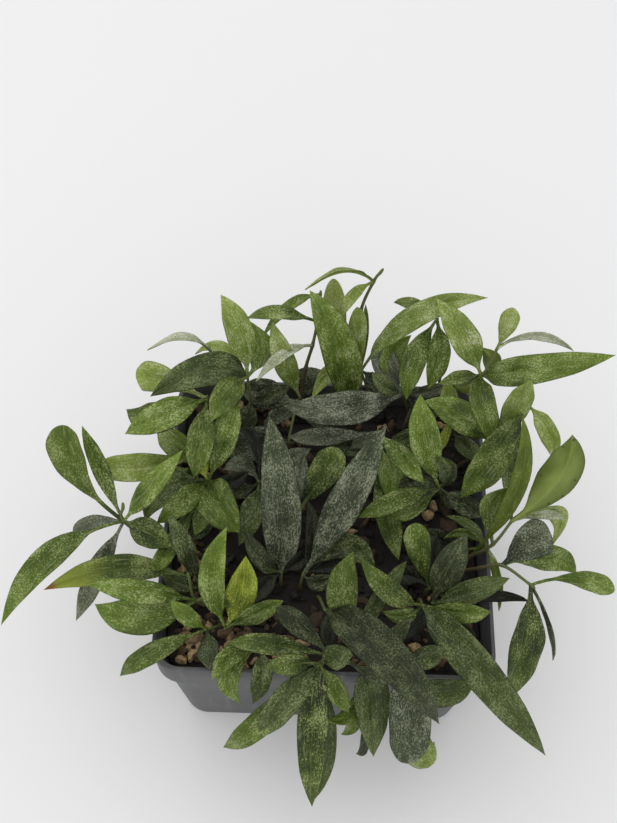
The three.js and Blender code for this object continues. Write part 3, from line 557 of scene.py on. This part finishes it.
        (1, (-22, 65, 118), (-28, 76, 134), 11, 0, "pointed", "pale"),
        (1, (-10, 68, 95), (-8, 74, 100), 16, 10, "rounded", "silver"),
        (1, (-22, 57, 87), (-32, 48, 85), 10, 0, "pointed", "silver"),
        (1, (-5, 53, 88), (3, 43, 84), 11, 0, "pointed", "dark"),
    ]),
    "back_top": ([(17, 63, 73), (13, 79, 104), (13, 83, 134), (18, 87, 152), (21, 88, 158)], [
        (3, (4, 83, 164), (-13, 78, 156), 8, 70, "small", "pale"),
        (3, (9, 83, 146), (4, 80, 132), 6, 20, "small", "pale"),
    ]),
    "back_mid": ([(9, 59, 73), (10, 62, 87)], [
        (1, (3, 71, 124), (-11, 84, 148), 18, 0, "broad", "bright"),
        (1, (3, 88, 108), (0, 104, 132), 11, 0, "rounded", "pale"),
        (1, (12, 78, 124), (11, 81, 140), 9, 0, "small", "pale"),
        (1, (15, 87, 102), (16, 96, 123), 6, 30, "small", "middle"),
        (1, (2, 69, 104), (-9, 57, 96), 10, 0, "pointed", "pale"),
    ]),
    "back_grey": ([(40, 63, 73), (36, 64, 94)], [
        (1, (7, 41, 116), (-22, 44, 112), 16, 0, "pointed", "hoary"),
        (1, (30, 79, 100), (39, 88, 110), 14, 15, "pointed", "bright"),
        (1, (48, 65, 96), (60, 64, 107), 7, 20, "small", "hoary"),
        (1, (26, 62, 104), (20, 66, 110), 9, 15, "small", "olive"),
        (1, (27, 77, 100), (24, 93, 103), 13, 0, "pointed", "hoary"),
        (1, (47, 60, 86), (58, 65, 84), 9, 0, "small", "dark"),
    ]),
    "back_arch": ([(23, 63, 73), (15, 73, 100)], [
        (1, (38, 77, 140), (72, 89, 140), 11, 0, "pointed", "pale"),
        (1, (22, 71, 94), (27, 65, 88), 8, 10, "small", "hoary"),
    ]),
    "back_right": ([
        (38, 56, 73), (44, 65, 88), (59, 64, 102), (70, 59, 120), (74, 63, 127), (76, 66, 132),
    ], [
        (3, (60, 67, 138), (46, 77, 154), 14, 0, "pointed", "pale"),
        (3, (94, 58, 128), (133, 70, 124), 14, 0, "broad", "bright"),
        (3, (70, 40, 120), (79, 26, 110), 13, -15, "broad", "middle"),
        (3, (61, 60, 116), (51, 60, 110), 7, 15, "small", "middle"),
        (3, (64, 57, 112), (59, 61, 108), 5, 200, "small", "frosted"),
        (3, (75, 65, 122), (69, 68, 130), 9, 160, "small", "frosted"),
        (5, (79, 71, 141), (81, 76, 150), 9, 0, "rounded", "pale"),
        (5, (93, 70, 138), (113, 70, 126), 6, 55, "small", "frosted"),
    ]),
    "back_hang": ([(52, 63, 73), (54, 75, 98), (50, 88, 124)], [
        (2, (40, 72, 112), (37, 58, 98), 12, 10, "pointed", "bright"),
        (2, (51, 74, 114), (47, 62, 102), 12, -15, "pointed", "bright"),
        (2, (39, 94, 126), (29, 94, 128), 7, 20, "small", "middle"),
    ]),
    "mid_back_small": ([(62, 53, 73), (59, 53, 90)], [
        (1, (57, 56, 102), (56, 65, 106), 9, 0, "small", "pale"),
        (1, (56, 43, 90), (53, 37, 84), 5, 20, "small", "young"),
        (0, (66, 36, 92), (74, 30, 90), 9, 0, "small", "olive"),
    ]),
    "mid_left_shade": ([(-16, 44, 73), (-19, 41, 84), (-16, 58, 92)], [
        (1, (-37, 35, 90), (-51, 34, 86), 17, 0, "broad", "silver"),
        (2, (-31, 63, 92), (-45, 66, 92), 15, 0, "pointed", "silver"),
    ]),
}

# Stems and leaves, in millimetres and in shares of a leaf's length or half width.
STEM_RADIUS = 1.1
STEM_TAPER = 0.45
STEM_SIDES = 10
STEM_STEPS = 7
STEM_RISE = 4
ROOT_DEPTH = 22
BUD_LENGTH = 2.5
BUD_WAIST = 0.6
BUD_TIP = 0.05
JOINT_SWELL = 0.35
JOINT_LENGTH = 1.6
BARK_LENGTH = 60
STALK_RADIUS = 0.7
LEAF_FOLD = 0.3
DEEP_FOLD = 0.75
FOLD_CURVE = 1.2
LEAF_THICKNESS = 0.95
LEAF_THINNING = 0.35
TIP_TAPER = 6
RIB_DEPTH = 0.5
RIB_WIDTH = 0.8
GROOVE_DEPTH = 0.3
LEAF_ROWS = 30
ROW_SPREAD = 1.06
LEAF_SEED = 5
MARGIN_WAVE = 0.065
WAVE_SHIFT = 1.3
SWELL_SHARE = 0.06
# The upper faces turn this way, towards the light that the plant grew in.
LIGHT = Vector((0, -0.5, 0.87)).normalized()

# Half width of a leaf along its length, as (share of length, share of half width).
OUTLINES = {
    "pointed": [(0, 0.12), (0.09, 0.13), (0.26, 0.66), (0.46, 1), (0.68, 0.88), (0.88, 0.4), (1, 0)],
    "rounded": [(0, 0.12), (0.12, 0.13), (0.34, 0.54), (0.58, 0.92), (0.78, 1), (0.93, 0.66), (1, 0)],
    "broad": [(0, 0.12), (0.05, 0.2), (0.16, 0.76), (0.4, 1), (0.7, 0.8), (0.9, 0.35), (1, 0)],
    "oval": [(0, 0.12), (0.06, 0.2), (0.2, 0.72), (0.45, 1), (0.75, 0.95), (0.93, 0.55), (1, 0)],
    "spoon": [(0, 0.12), (0.25, 0.13), (0.45, 0.5), (0.66, 0.95), (0.82, 1), (0.95, 0.6), (1, 0)],
    "stalked": [(0, 0.12), (0.2, 0.13), (0.34, 0.7), (0.5, 1), (0.7, 0.84), (0.88, 0.4), (1, 0)],
    "small": [(0, 0.12), (0.1, 0.15), (0.34, 0.88), (0.58, 1), (0.84, 0.54), (1, 0)],
}
OUTLINES["folded"] = OUTLINES["pointed"]

# Places across a leaf, from the middle to the margin, closer where the rib and the margin bend.
ACROSS = [0, 0.07, 0.16, 0.34, 0.56, 0.78, 0.93, 1]
FULL = [-place for place in reversed(ACROSS[1:])] + ACROSS

# Each tone of upper face: deep green, fresh green, fleck, and how much of it the flecks cover.
# Some tones hold painted light and shade. pale paints the light on leaves lit from above and behind, shaded
# paints the deep shade inside the plant, and plain is an underside's olive darkened with painted shade.
LEAF_TONES = {
    "pale": ("5a6d27", "8b9b44", "cccfb2", 0.4),
    "frosted": ("75805a", "a1a888", "e2e1d2", 0.7),
    "bright": ("32420f", "69802a", "b6bb8c", 0.4),
    "middle": ("1f2a0c", "52651e", "a2a874", 0.42),
    "olive": ("202810", "465322", "8c956c", 0.5),
    "silver": ("191f13", "3f472f", "9a9f87", 0.56),
    "hoary": ("2b3122", "5c624b", "a9ad98", 0.6),
    "dark": ("191e0d", "323b1e", "7c8360", 0.45),
    "shaded": ("0a0c06", "1b1e13", "4c5236", 0.35),
    "young": ("44561a", "a2b036", "dfe27e", 0.15),
    "plain": ("384614", "5b6a20", "8c9258", 0.1),
}
TONES = ["stem", *LEAF_TONES, "under"]
FLECK_ACROSS = 0.55
FLECK_ALONG = 1
FLECK_LEVEL = 0.785
FLECK_COVER = 0.13
FLECK_EDGE = 0.17
FLECK_STRENGTH = 0.62
STREAK_ACROSS = 0.7
STREAK_ALONG = 9
PATCH = 6.5
VEIN_SPACING = 5
SPECK_SPACING = 6
LEAF_MARGIN = "2c3418"
LEAF_YELLOWED = "959f3c"
LEAF_DRIED = "8f5f33"
UNDER_DEEP = "5c6b27"
UNDER_FRESH = "83914a"
UNDER_RIB = "98a25c"
UNDER_MARGIN = "2c3a10"
STEM_BROWN = "4a3d2a"
STEM_GREEN = "5b6a33"
LEAF_GLOSS = 0.25
WAX_IOR = 1.45


def smooth_share(outline, at):
    """The outline's half width at a share of the length, on a curve that never overshoots."""
    rounded = outline in ("rounded", "spoon", "oval")
    knots = [(place, half ** 2 if rounded else half) for place, half in OUTLINES[outline]]
    slopes = [(b[1] - a[1]) / (b[0] - a[0]) for a, b in zip(knots, knots[1:])]
    tangents = [0]
    for before, after in zip(slopes, slopes[1:]):
        tangents.append(2 * before * after / (before + after) if before * after > 0 else 0)
    tangents.append(slopes[-1])
    index = min(sum(place <= at for place, half in knots), len(knots) - 1) - 1
    (x0, y0), (x1, y1) = knots[index], knots[index + 1]
    span = x1 - x0
    t = (at - x0) / span
    value = (
        y0 * (1 + 2 * t) * (1 - t) ** 2 + tangents[index] * span * t * (1 - t) ** 2
        + y1 * t * t * (3 - 2 * t) + tangents[index + 1] * span * t * t * (t - 1)
    )
    return math.sqrt(max(value, 0)) if rounded else max(value, 0)


def stem_line(bends):
    """The stem's bends with its buried part added: straight down into the root ball."""
    points = [Vector(bend) for bend in bends]
    points[0].z += STEM_RISE
    root = Vector((points[0].x, points[0].y, SOIL_TOP - ROOT_DEPTH))
    return [root, *points]


def grow_stem(line, build):
    """A round stem on a smooth curve through its bends, swollen at each joint, with a bud on its end."""
    ends = [2 * line[0] - line[1], *line, 2 * line[-1] - line[-2]]
    centres = []
    for index in range(1, len(ends) - 2):
        p0, p1, p2, p3 = ends[index - 1:index + 3]
        for step in range(STEM_STEPS):
            t = step / STEM_STEPS
            centres.append((
                0.5 * (2 * p1 + (p2 - p0) * t + (2 * p0 - 5 * p1 + 4 * p2 - p3) * t * t
                       + (3 * p1 - p0 - 3 * p2 + p3) * t ** 3),
                (index - 1 + t) / (len(line) - 1),
            ))
    ahead = (line[-1] - line[-2]).normalized()
    centres.append((line[-1], 1))
    centres.append((line[-1] + ahead * BUD_WAIST * BUD_LENGTH, 1.1))
    centres.append((line[-1] + ahead * BUD_LENGTH, None))
    rings = []
    for index, (centre, share) in enumerate(centres):
        before = centres[max(index - 1, 0)][0]
        after = centres[min(index + 1, len(centres) - 1)][0]
        turn = Vector((0, 0, 1)).rotation_difference((after - before).normalized())
        radius = BUD_TIP
        if share is not None:
            near = min((centre - joint).length for joint in line[1:])
            radius = STEM_RADIUS * (1 - STEM_TAPER * share)
            radius *= 1 + JOINT_SWELL * math.exp(-(near / JOINT_LENGTH) ** 2)
        ring = []
        for side in range(STEM_SIDES):
            angle = side / STEM_SIDES * 2 * math.pi
            spoke = turn @ Vector((math.cos(angle) * radius, math.sin(angle) * radius, 0))
            ring.append(centre + spoke)
            build["blade"].append((angle * radius, (share or 1) * BARK_LENGTH, 0.5))
            build["share"].append((0, share or 1, 0))
        rings.append(ring)
    start = len(build["points"])
    build["points"].extend(point for ring in rings for point in ring)
    faces = join_rings(rings, start) + end_caps(start, len(build["points"]), STEM_SIDES)
    build["faces"].extend(faces)
    build["picks"].extend([TONES.index("stem")] * len(faces))


def grow_leaf(base, leaf, build, draw, age):
    """One leaf: it bends from its stem through the middle of its blade to its tip."""
    middle, tip, width, roll, outline, tone = leaf
    middle, tip = Vector(middle), Vector(tip)
    control = 2 * middle - (base + tip) / 2
    along = (tip - base).normalized()
    up = (LIGHT - along * LIGHT.dot(along)).normalized()
    up.rotate(Quaternion(along, math.radians(roll)))
    side = along.cross(up)
    fold = DEEP_FOLD if outline == "folded" else LEAF_FOLD
    length = (middle - base).length + (tip - middle).length
    wave, beats = draw.uniform(0, 2 * math.pi), draw.uniform(1.5, 2.6)
    grain = draw.random()
    start = len(build["points"])
    for row in range(LEAF_ROWS):
        share = 0.5 - 0.5 * math.cos(math.pi * (row / LEAF_ROWS) ** ROW_SPREAD)
        centre = base.lerp(control, share).lerp(control.lerp(tip, share), share)
        tangent = (control - base).lerp(tip - control, share).normalized()
        turn = along.rotation_difference(tangent)
        out, face = turn @ side, turn @ up
        taper = min(1, TIP_TAPER * (1 - share))
        reach = max(width / 2 * smooth_share(outline, share), STALK_RADIUS * taper)
        broad = min(max(reach / STALK_RADIUS - 1, 0), 1)
        thick = LEAF_THICKNESS * (1 - LEAF_THINNING * share) / 2
        thick += (STALK_RADIUS - thick) * (1 - broad) * taper
        for upper in (True, False):
            places = FULL if upper else [-place for place in FULL[1:-1]]
            for place in places:
                edge = abs(place)
                lift = fold * max(reach - STALK_RADIUS, 0) * edge ** FOLD_CURVE
                lift += SWELL_SHARE * reach * broad * math.sin(math.pi * edge) * math.sin(math.pi * share)
                ripple = math.sin(beats * 2 * math.pi * share + wave + (WAVE_SHIFT if place > 0 else 0))
                lift += MARGIN_WAVE * reach * broad * edge ** 2 * ripple
                skin = thick * math.sqrt(max(1 - edge ** 3, 0))
                near_rib = broad * math.exp(-(place * reach / RIB_WIDTH) ** 2)
                lift += skin - GROOVE_DEPTH * near_rib if upper else -skin - RIB_DEPTH * near_rib
                build["points"].append(centre + out * place * reach + face * lift)
                build["blade"].append((place * reach, share * length, grain))
                build["share"].append((place, share, age))
    ring = 2 * len(FULL) - 2
    top_faces = len(FULL) - 1
    tip_point = len(build["points"])
    build["points"].append(tip)
    build["blade"].append((0, length, grain))
    build["share"].append((0, 1, age))
    faces = join_rings([range(ring)] * LEAF_ROWS, start)
    last = start + (LEAF_ROWS - 1) * ring
    faces.extend((last + step, last + (step + 1) % ring, tip_point) for step in range(ring))
    build["faces"].extend(faces)
    for index in range(len(faces)):
        build["picks"].append(TONES.index(tone if index % ring < top_faces else "under"))
    build["faces"].append(tuple(reversed(range(start, start + ring))))
    build["picks"].append(TONES.index("under"))


def blade_places(tree):
    """The blade layer as a vector and apart, then the share layer apart.

    blade holds millimetres across, millimetres along and a draw for each leaf, which a pattern
    scales up so that no leaves look alike. share holds the share across, the share along
    and the leaf's age.
    """
    blade = add(tree, "Attribute", attribute_name="blade").outputs["Vector"]
    share = add(tree, "SeparateXYZ", {0: add(tree, "Attribute", attribute_name="share").outputs["Vector"]})
    apart = add(tree, "SeparateXYZ", {0: blade})
    return blade, apart, share


def add_age(tree, colour, share):
    """An old leaf yellows over its outer half and dries brown at its tip."""
    along, age = share.outputs[1], share.outputs[2]
    yellowed = add(tree, "MapRange", {"Value": along, "From Min": 0.56, "From Max": 0.88, "To Max": 0.75})
    dried = add(tree, "MapRange", {"Value": along, "From Min": 0.91, "From Max": 0.94})
    yellow = add(tree, "Math", {0: yellowed, 1: age}, operation="MULTIPLY")
    dry = add(tree, "Math", {0: dried, 1: age}, operation="MULTIPLY")
    faded = add(tree, "Mix", {0: yellow, 6: colour, 7: linear(LEAF_YELLOWED)}, data_type="RGBA")
    return add(tree, "Mix", {0: dry, 6: faded, 7: linear(LEAF_DRIED)}, data_type="RGBA")


def waxy_leaf(name, deep, fresh, fleck, cover):
    """Thick waxy leaf, upper face: half-gloss olive green under fine silver flecks that run along it."""
    material, tree, shader = new_material(name)
    blade, apart, share = blade_places(tree)

    # Flecks are air pockets under the skin, about 0.5 mm across and 1 mm long, with soft edges.
    # Longer streaks run between them, and patches of the blade carry more flecks than others.
    spot_place = add(tree, "Mapping", {"Vector": blade, "Scale": (1 / FLECK_ACROSS, 1 / FLECK_ALONG, 900)})
    spots = add(tree, "TexNoise", {"Vector": spot_place, "Scale": 1, "Detail": 4, "Roughness": 0.62})
    streak_scale = (1 / STREAK_ACROSS, 1 / STREAK_ALONG, 400)
    streak_place = add(tree, "Mapping", {"Vector": blade, "Scale": streak_scale})
    streaks = add(tree, "TexNoise", {"Vector": streak_place, "Scale": 1, "Detail": 2})
    patch_place = add(tree, "Mapping", {"Vector": blade, "Scale": (1 / PATCH, 0.6 / PATCH, 700)})
    patches = add(tree, "TexNoise", {"Vector": patch_place, "Scale": 1, "Detail": 2})
    thicker = add(tree, "Math", {0: patches, 1: 0.45, 2: spots}, operation="MULTIPLY_ADD")
    edge = FLECK_LEVEL - FLECK_COVER * cover
    flecked = add(tree, "MapRange", {"Value": thicker, "From Min": edge, "From Max": edge + FLECK_EDGE},
                  interpolation_type="SMOOTHSTEP")
    streaked = add(tree, "MapRange", {"Value": streaks, "From Min": 0.56, "From Max": 0.7, "To Max": 0.5})
    pale = add(tree, "Math", {0: flecked, 1: streaked}, operation="MAXIMUM")
    shown = add(tree, "Math", {0: pale, 1: FLECK_STRENGTH}, operation="MULTIPLY")

    # The green drifts over the blade and from leaf to leaf. It is deepest towards the stalk: that is
    # painted shade, where the leaves crowd round the stems.
    drift = add(tree, "Math", {0: apart.outputs[2], 1: 0.3, 2: patches}, operation="MULTIPLY_ADD")
    # Painted shade: the share along the leaf lightens the green from the stalk outwards.
    drift_with_stalk_shade = add(tree, "Math", {0: share.outputs[1], 1: 0.45, 2: drift}, operation="MULTIPLY_ADD")
    grain_drift_and_stalk_shade = add(tree, "Math", {0: spots, 1: 0.9, 2: drift_with_stalk_shade}, operation="MULTIPLY_ADD")
    fresher = add(tree, "MapRange", {"Value": grain_drift_and_stalk_shade, "From Min": 0.98, "From Max": 1.6})
    green = add(tree, "Mix", {0: fresher, 6: linear(deep), 7: linear(fresh)}, data_type="RGBA")
    spotted = add(tree, "Mix", {0: shown, 6: green, 7: linear(fleck)}, data_type="RGBA")
    aged = add_age(tree, spotted, share)

    # The midrib is a narrow paler line and the margin a thin darker one.
    across = add(tree, "Math", {0: apart.outputs[0]}, operation="ABSOLUTE")
    rib = add(tree, "MapRange", {
        "Value": across, "From Min": 0.15, "From Max": 0.5, "To Min": 0.3, "To Max": 0,
    })
    ribbed = add(tree, "Mix", {0: rib, 6: aged, 7: linear(fresh)}, data_type="RGBA")
    margin = add(tree, "Math", {0: share.outputs[0]}, operation="ABSOLUTE")
    rimmed = add(tree, "MapRange", {"Value": margin, "From Min": 0.94, "From Max": 1, "To Max": 0.55})
    colour = add(tree, "Mix", {0: rimmed, 6: ribbed, 7: linear(LEAF_MARGIN)}, data_type="RGBA")

    # Side veins leave the rib at a slant every 5 mm or so and only dent the wax.
    slant = add(tree, "Math", {0: across, 1: -1.6, 2: apart.outputs[1]}, operation="MULTIPLY_ADD")
    vein = add(tree, "Math", {0: slant, 1: 2 * math.pi / VEIN_SPACING}, operation="MULTIPLY")
    veins = add(tree, "Math", {0: vein}, operation="SINE")
    dents = add(tree, "Math", {0: veins, 1: 0.3, 2: spots}, operation="MULTIPLY_ADD")
    relief = add(tree, "Bump", {"Height": dents, "Strength": 0.5, "Distance": 0.0002})
    rough = add(tree, "MapRange", {"Value": spots, "To Min": 0.33, "To Max": 0.5})
    fill(tree, shader, {
        "Base Color": colour, "Roughness": rough, "Normal": relief,
        "IOR": WAX_IOR, "Specular IOR Level": LEAF_GLOSS,
    })
    return material


def leaf_underside():
    """The same leaves from below: plain olive, duller, dark at the margin, with a few dark specks."""
    material, tree, shader = new_material("waxy_leaf_underside")
    blade, apart, share = blade_places(tree)
    patch_place = add(tree, "Mapping", {"Vector": blade, "Scale": (1 / PATCH, 0.4 / PATCH, 500)})
    patches = add(tree, "TexNoise", {"Vector": patch_place, "Scale": 1, "Detail": 4})
    across = add(tree, "Math", {0: apart.outputs[0]}, operation="ABSOLUTE")
    rib = add(tree, "MapRange", {
        "Value": across, "From Min": 0.2, "From Max": 0.9, "To Min": 0.22, "To Max": 0,
    })
    mottle = add(tree, "MapRange", {"Value": patches, "From Min": 0.3, "From Max": 0.7})
    plain = add(tree, "Mix", {0: mottle, 6: linear(UNDER_DEEP), 7: linear(UNDER_FRESH)}, data_type="RGBA")
    ribbed = add(tree, "Mix", {0: rib, 6: plain, 7: linear(UNDER_RIB)}, data_type="RGBA")

    # The blade darkens towards its margin, most on the rim. The specks are a millimetre or so.
    margin = add(tree, "Math", {0: share.outputs[0]}, operation="ABSOLUTE")
    shadier = add(tree, "MapRange", {"Value": margin, "From Min": 0.3, "From Max": 1, "To Max": 0.45})
    rimmed = add(tree, "MapRange", {"Value": margin, "From Min": 0.95, "From Max": 1, "To Max": 0.4})
    speck_scale = (1 / SPECK_SPACING, 1 / SPECK_SPACING, 300)
    speck_place = add(tree, "Mapping", {"Vector": blade, "Scale": speck_scale})
    cells = add(tree, "TexVoronoi", {"Vector": speck_place, "Scale": 1})
    speck = add(tree, "MapRange", {
        "Value": cells, "From Min": 0.09, "From Max": 0.15, "To Min": 0.8, "To Max": 0,
    })
    darker = add(tree, "Math", {0: shadier, 1: rimmed})
    darkest = add(tree, "Math", {0: darker, 1: speck}, operation="MAXIMUM")
    colour = add(tree, "Mix", {0: darkest, 6: ribbed, 7: linear(UNDER_MARGIN)}, data_type="RGBA")
    relief = add(tree, "Bump", {"Height": patches, "Strength": 0.3, "Distance": 0.0003})
    fill(tree, shader, {
        "Base Color": colour, "Roughness": 0.5, "Normal": relief,
        "IOR": WAX_IOR, "Specular IOR Level": LEAF_GLOSS,
    })
    return material


def woody_stem():
    """Thin vine bark: brown below and greener towards the growing tip, ringed and slightly rough."""
    material, tree, shader = new_material("thin_vine_bark")
    blade, _, share = blade_places(tree)

    # The grain is about 0.4 mm wide round the stem and 1.3 mm long.
    grain_place = add(tree, "Mapping", {"Vector": blade, "Scale": (2.5, 0.8, 1)})
    grain = add(tree, "TexNoise", {"Vector": grain_place, "Scale": 1, "Detail": 4})
    greener = add(tree, "Math", {0: grain, 1: 0.8, 2: share.outputs[1]}, operation="MULTIPLY_ADD")
    young = add(tree, "MapRange", {"Value": greener, "From Min": 0.85, "From Max": 1.4})
    colour = add(tree, "Mix", {0: young, 6: linear(STEM_BROWN), 7: linear(STEM_GREEN)}, data_type="RGBA")
    relief = add(tree, "Bump", {"Height": grain, "Strength": 0.6, "Distance": 0.0003})
    fill(tree, shader, {"Base Color": colour, "Roughness": 0.6, "Normal": relief})
    return material


skins = [woody_stem()]
for tone, looks in LEAF_TONES.items():
    skins.append(waxy_leaf("waxy_leaf_" + tone, *looks))
skins.append(leaf_underside())

# One old leaf on the left has yellowed and its tip has dried.
OLD_LEAF = ("left_low", 0)

for name, (bends, leaves) in CUTTINGS.items():
    build = {"points": [], "faces": [], "picks": [], "blade": [], "share": []}
    draw = random.Random(LEAF_SEED + len(leaves) + int(bends[0][0]))
    line = stem_line(bends)
    grow_stem(line, build)
    for index, (bend, *leaf) in enumerate(leaves):
        age = 1 if (name, index) == OLD_LEAF else 0
        grow_leaf(line[bend + 1], leaf, build, draw, age)
    vine = make_piece("vine_" + name, build["points"], build["faces"], skins, build["picks"])
    for layer in ("blade", "share"):
        values = vine.data.attributes.new(layer, "FLOAT_VECTOR", "POINT")
        values.data.foreach_set("vector", [part for entry in build[layer] for part in entry])
    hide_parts("cutting_" + name)
    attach(vine, "root")

# The floor and the light: a plain pale matt surface under a large soft light from above and
# behind, as in a light tent. Neither belongs to the plant.
FLOOR_REACH = 4000
FLOOR_PALE = "f2f2f2"
TENT_WHITE = "ffffff"
TENT_GLOW = 0.735
LAMP_SIZE = 2.4

board, board_tree, board_shader = new_material("pale_matt_board")
fill(board_tree, board_shader, {"Base Color": linear(FLOOR_PALE), "Roughness": 0.9})
floor_corners = [(x * FLOOR_REACH, y * FLOOR_REACH, 0) for x, y in [(-1, -1), (1, -1), (1, 1), (-1, 1)]]
floor = make_piece("pale_floor", floor_corners, [(0, 1, 2, 3)], [board])

world = bpy.data.worlds.new("soft_tent")
world.use_nodes = True
glow = world.node_tree.nodes["Background"]
fill(world.node_tree, glow, {"Color": linear(TENT_WHITE), "Strength": TENT_GLOW})
scene.world = world


def hang_lamp(name, energy, place, towards):
    """A square soft lamp that faces a point. Its size and places are in metres."""
    lamp = bpy.data.lights.new(name, "AREA")
    lamp.shape = "SQUARE"
    lamp.size = LAMP_SIZE
    lamp.energy = energy
    hung = bpy.data.objects.new(name, lamp)
    hung.location = place
    hung.rotation_euler = (Vector(towards) - hung.location).to_track_quat("-Z", "Y").to_euler()
    scene.collection.objects.link(hung)
    return hung


# One lamp hangs above and behind. The other fills the shade under the hanging leaves from in front.
hang_lamp("tent_top", 8.8, (-0.4, 0.3, 1.45), (0, 0, 0.05))
tent_front = hang_lamp("tent_front", 11, (0.2, -2.6, 1.35), (0, -0.1, 0))
tent_front.visible_camera = False

# The camera stands where the photo was taken from: above the front edge, looking down at the pot.
PHOTO_HEIGHT = 823
FOCAL_PIXELS = 1135
CAMERA_PLACE = (-7.1, -236.5, 559.3)
LOOK_DOWN = math.radians(58.16)
LOOK_LEFT = math.radians(-0.57)
CAMERA_ROLL = math.radians(-1.26)
SENSOR = 36

look = Vector((
    math.sin(LOOK_LEFT) * math.cos(LOOK_DOWN),
    math.cos(LOOK_LEFT) * math.cos(LOOK_DOWN),
    -math.sin(LOOK_DOWN),
))
level = Vector((math.cos(LOOK_LEFT), -math.sin(LOOK_LEFT), 0))
down = look.cross(level)
right = level * math.cos(CAMERA_ROLL) + down * math.sin(CAMERA_ROLL)
below = down * math.cos(CAMERA_ROLL) - level * math.sin(CAMERA_ROLL)
lens = bpy.data.cameras.new("photo_camera")
lens.sensor_width = SENSOR
lens.lens = FOCAL_PIXELS / PHOTO_HEIGHT * SENSOR
camera = bpy.data.objects.new("photo_camera", lens)
stand = Matrix((right, -below, -look)).transposed().to_4x4()
stand.translation = Vector(CAMERA_PLACE) * MM
camera.matrix_world = stand
scene.collection.objects.link(camera)
scene.camera = camera
scene.view_settings.view_transform = "Standard"
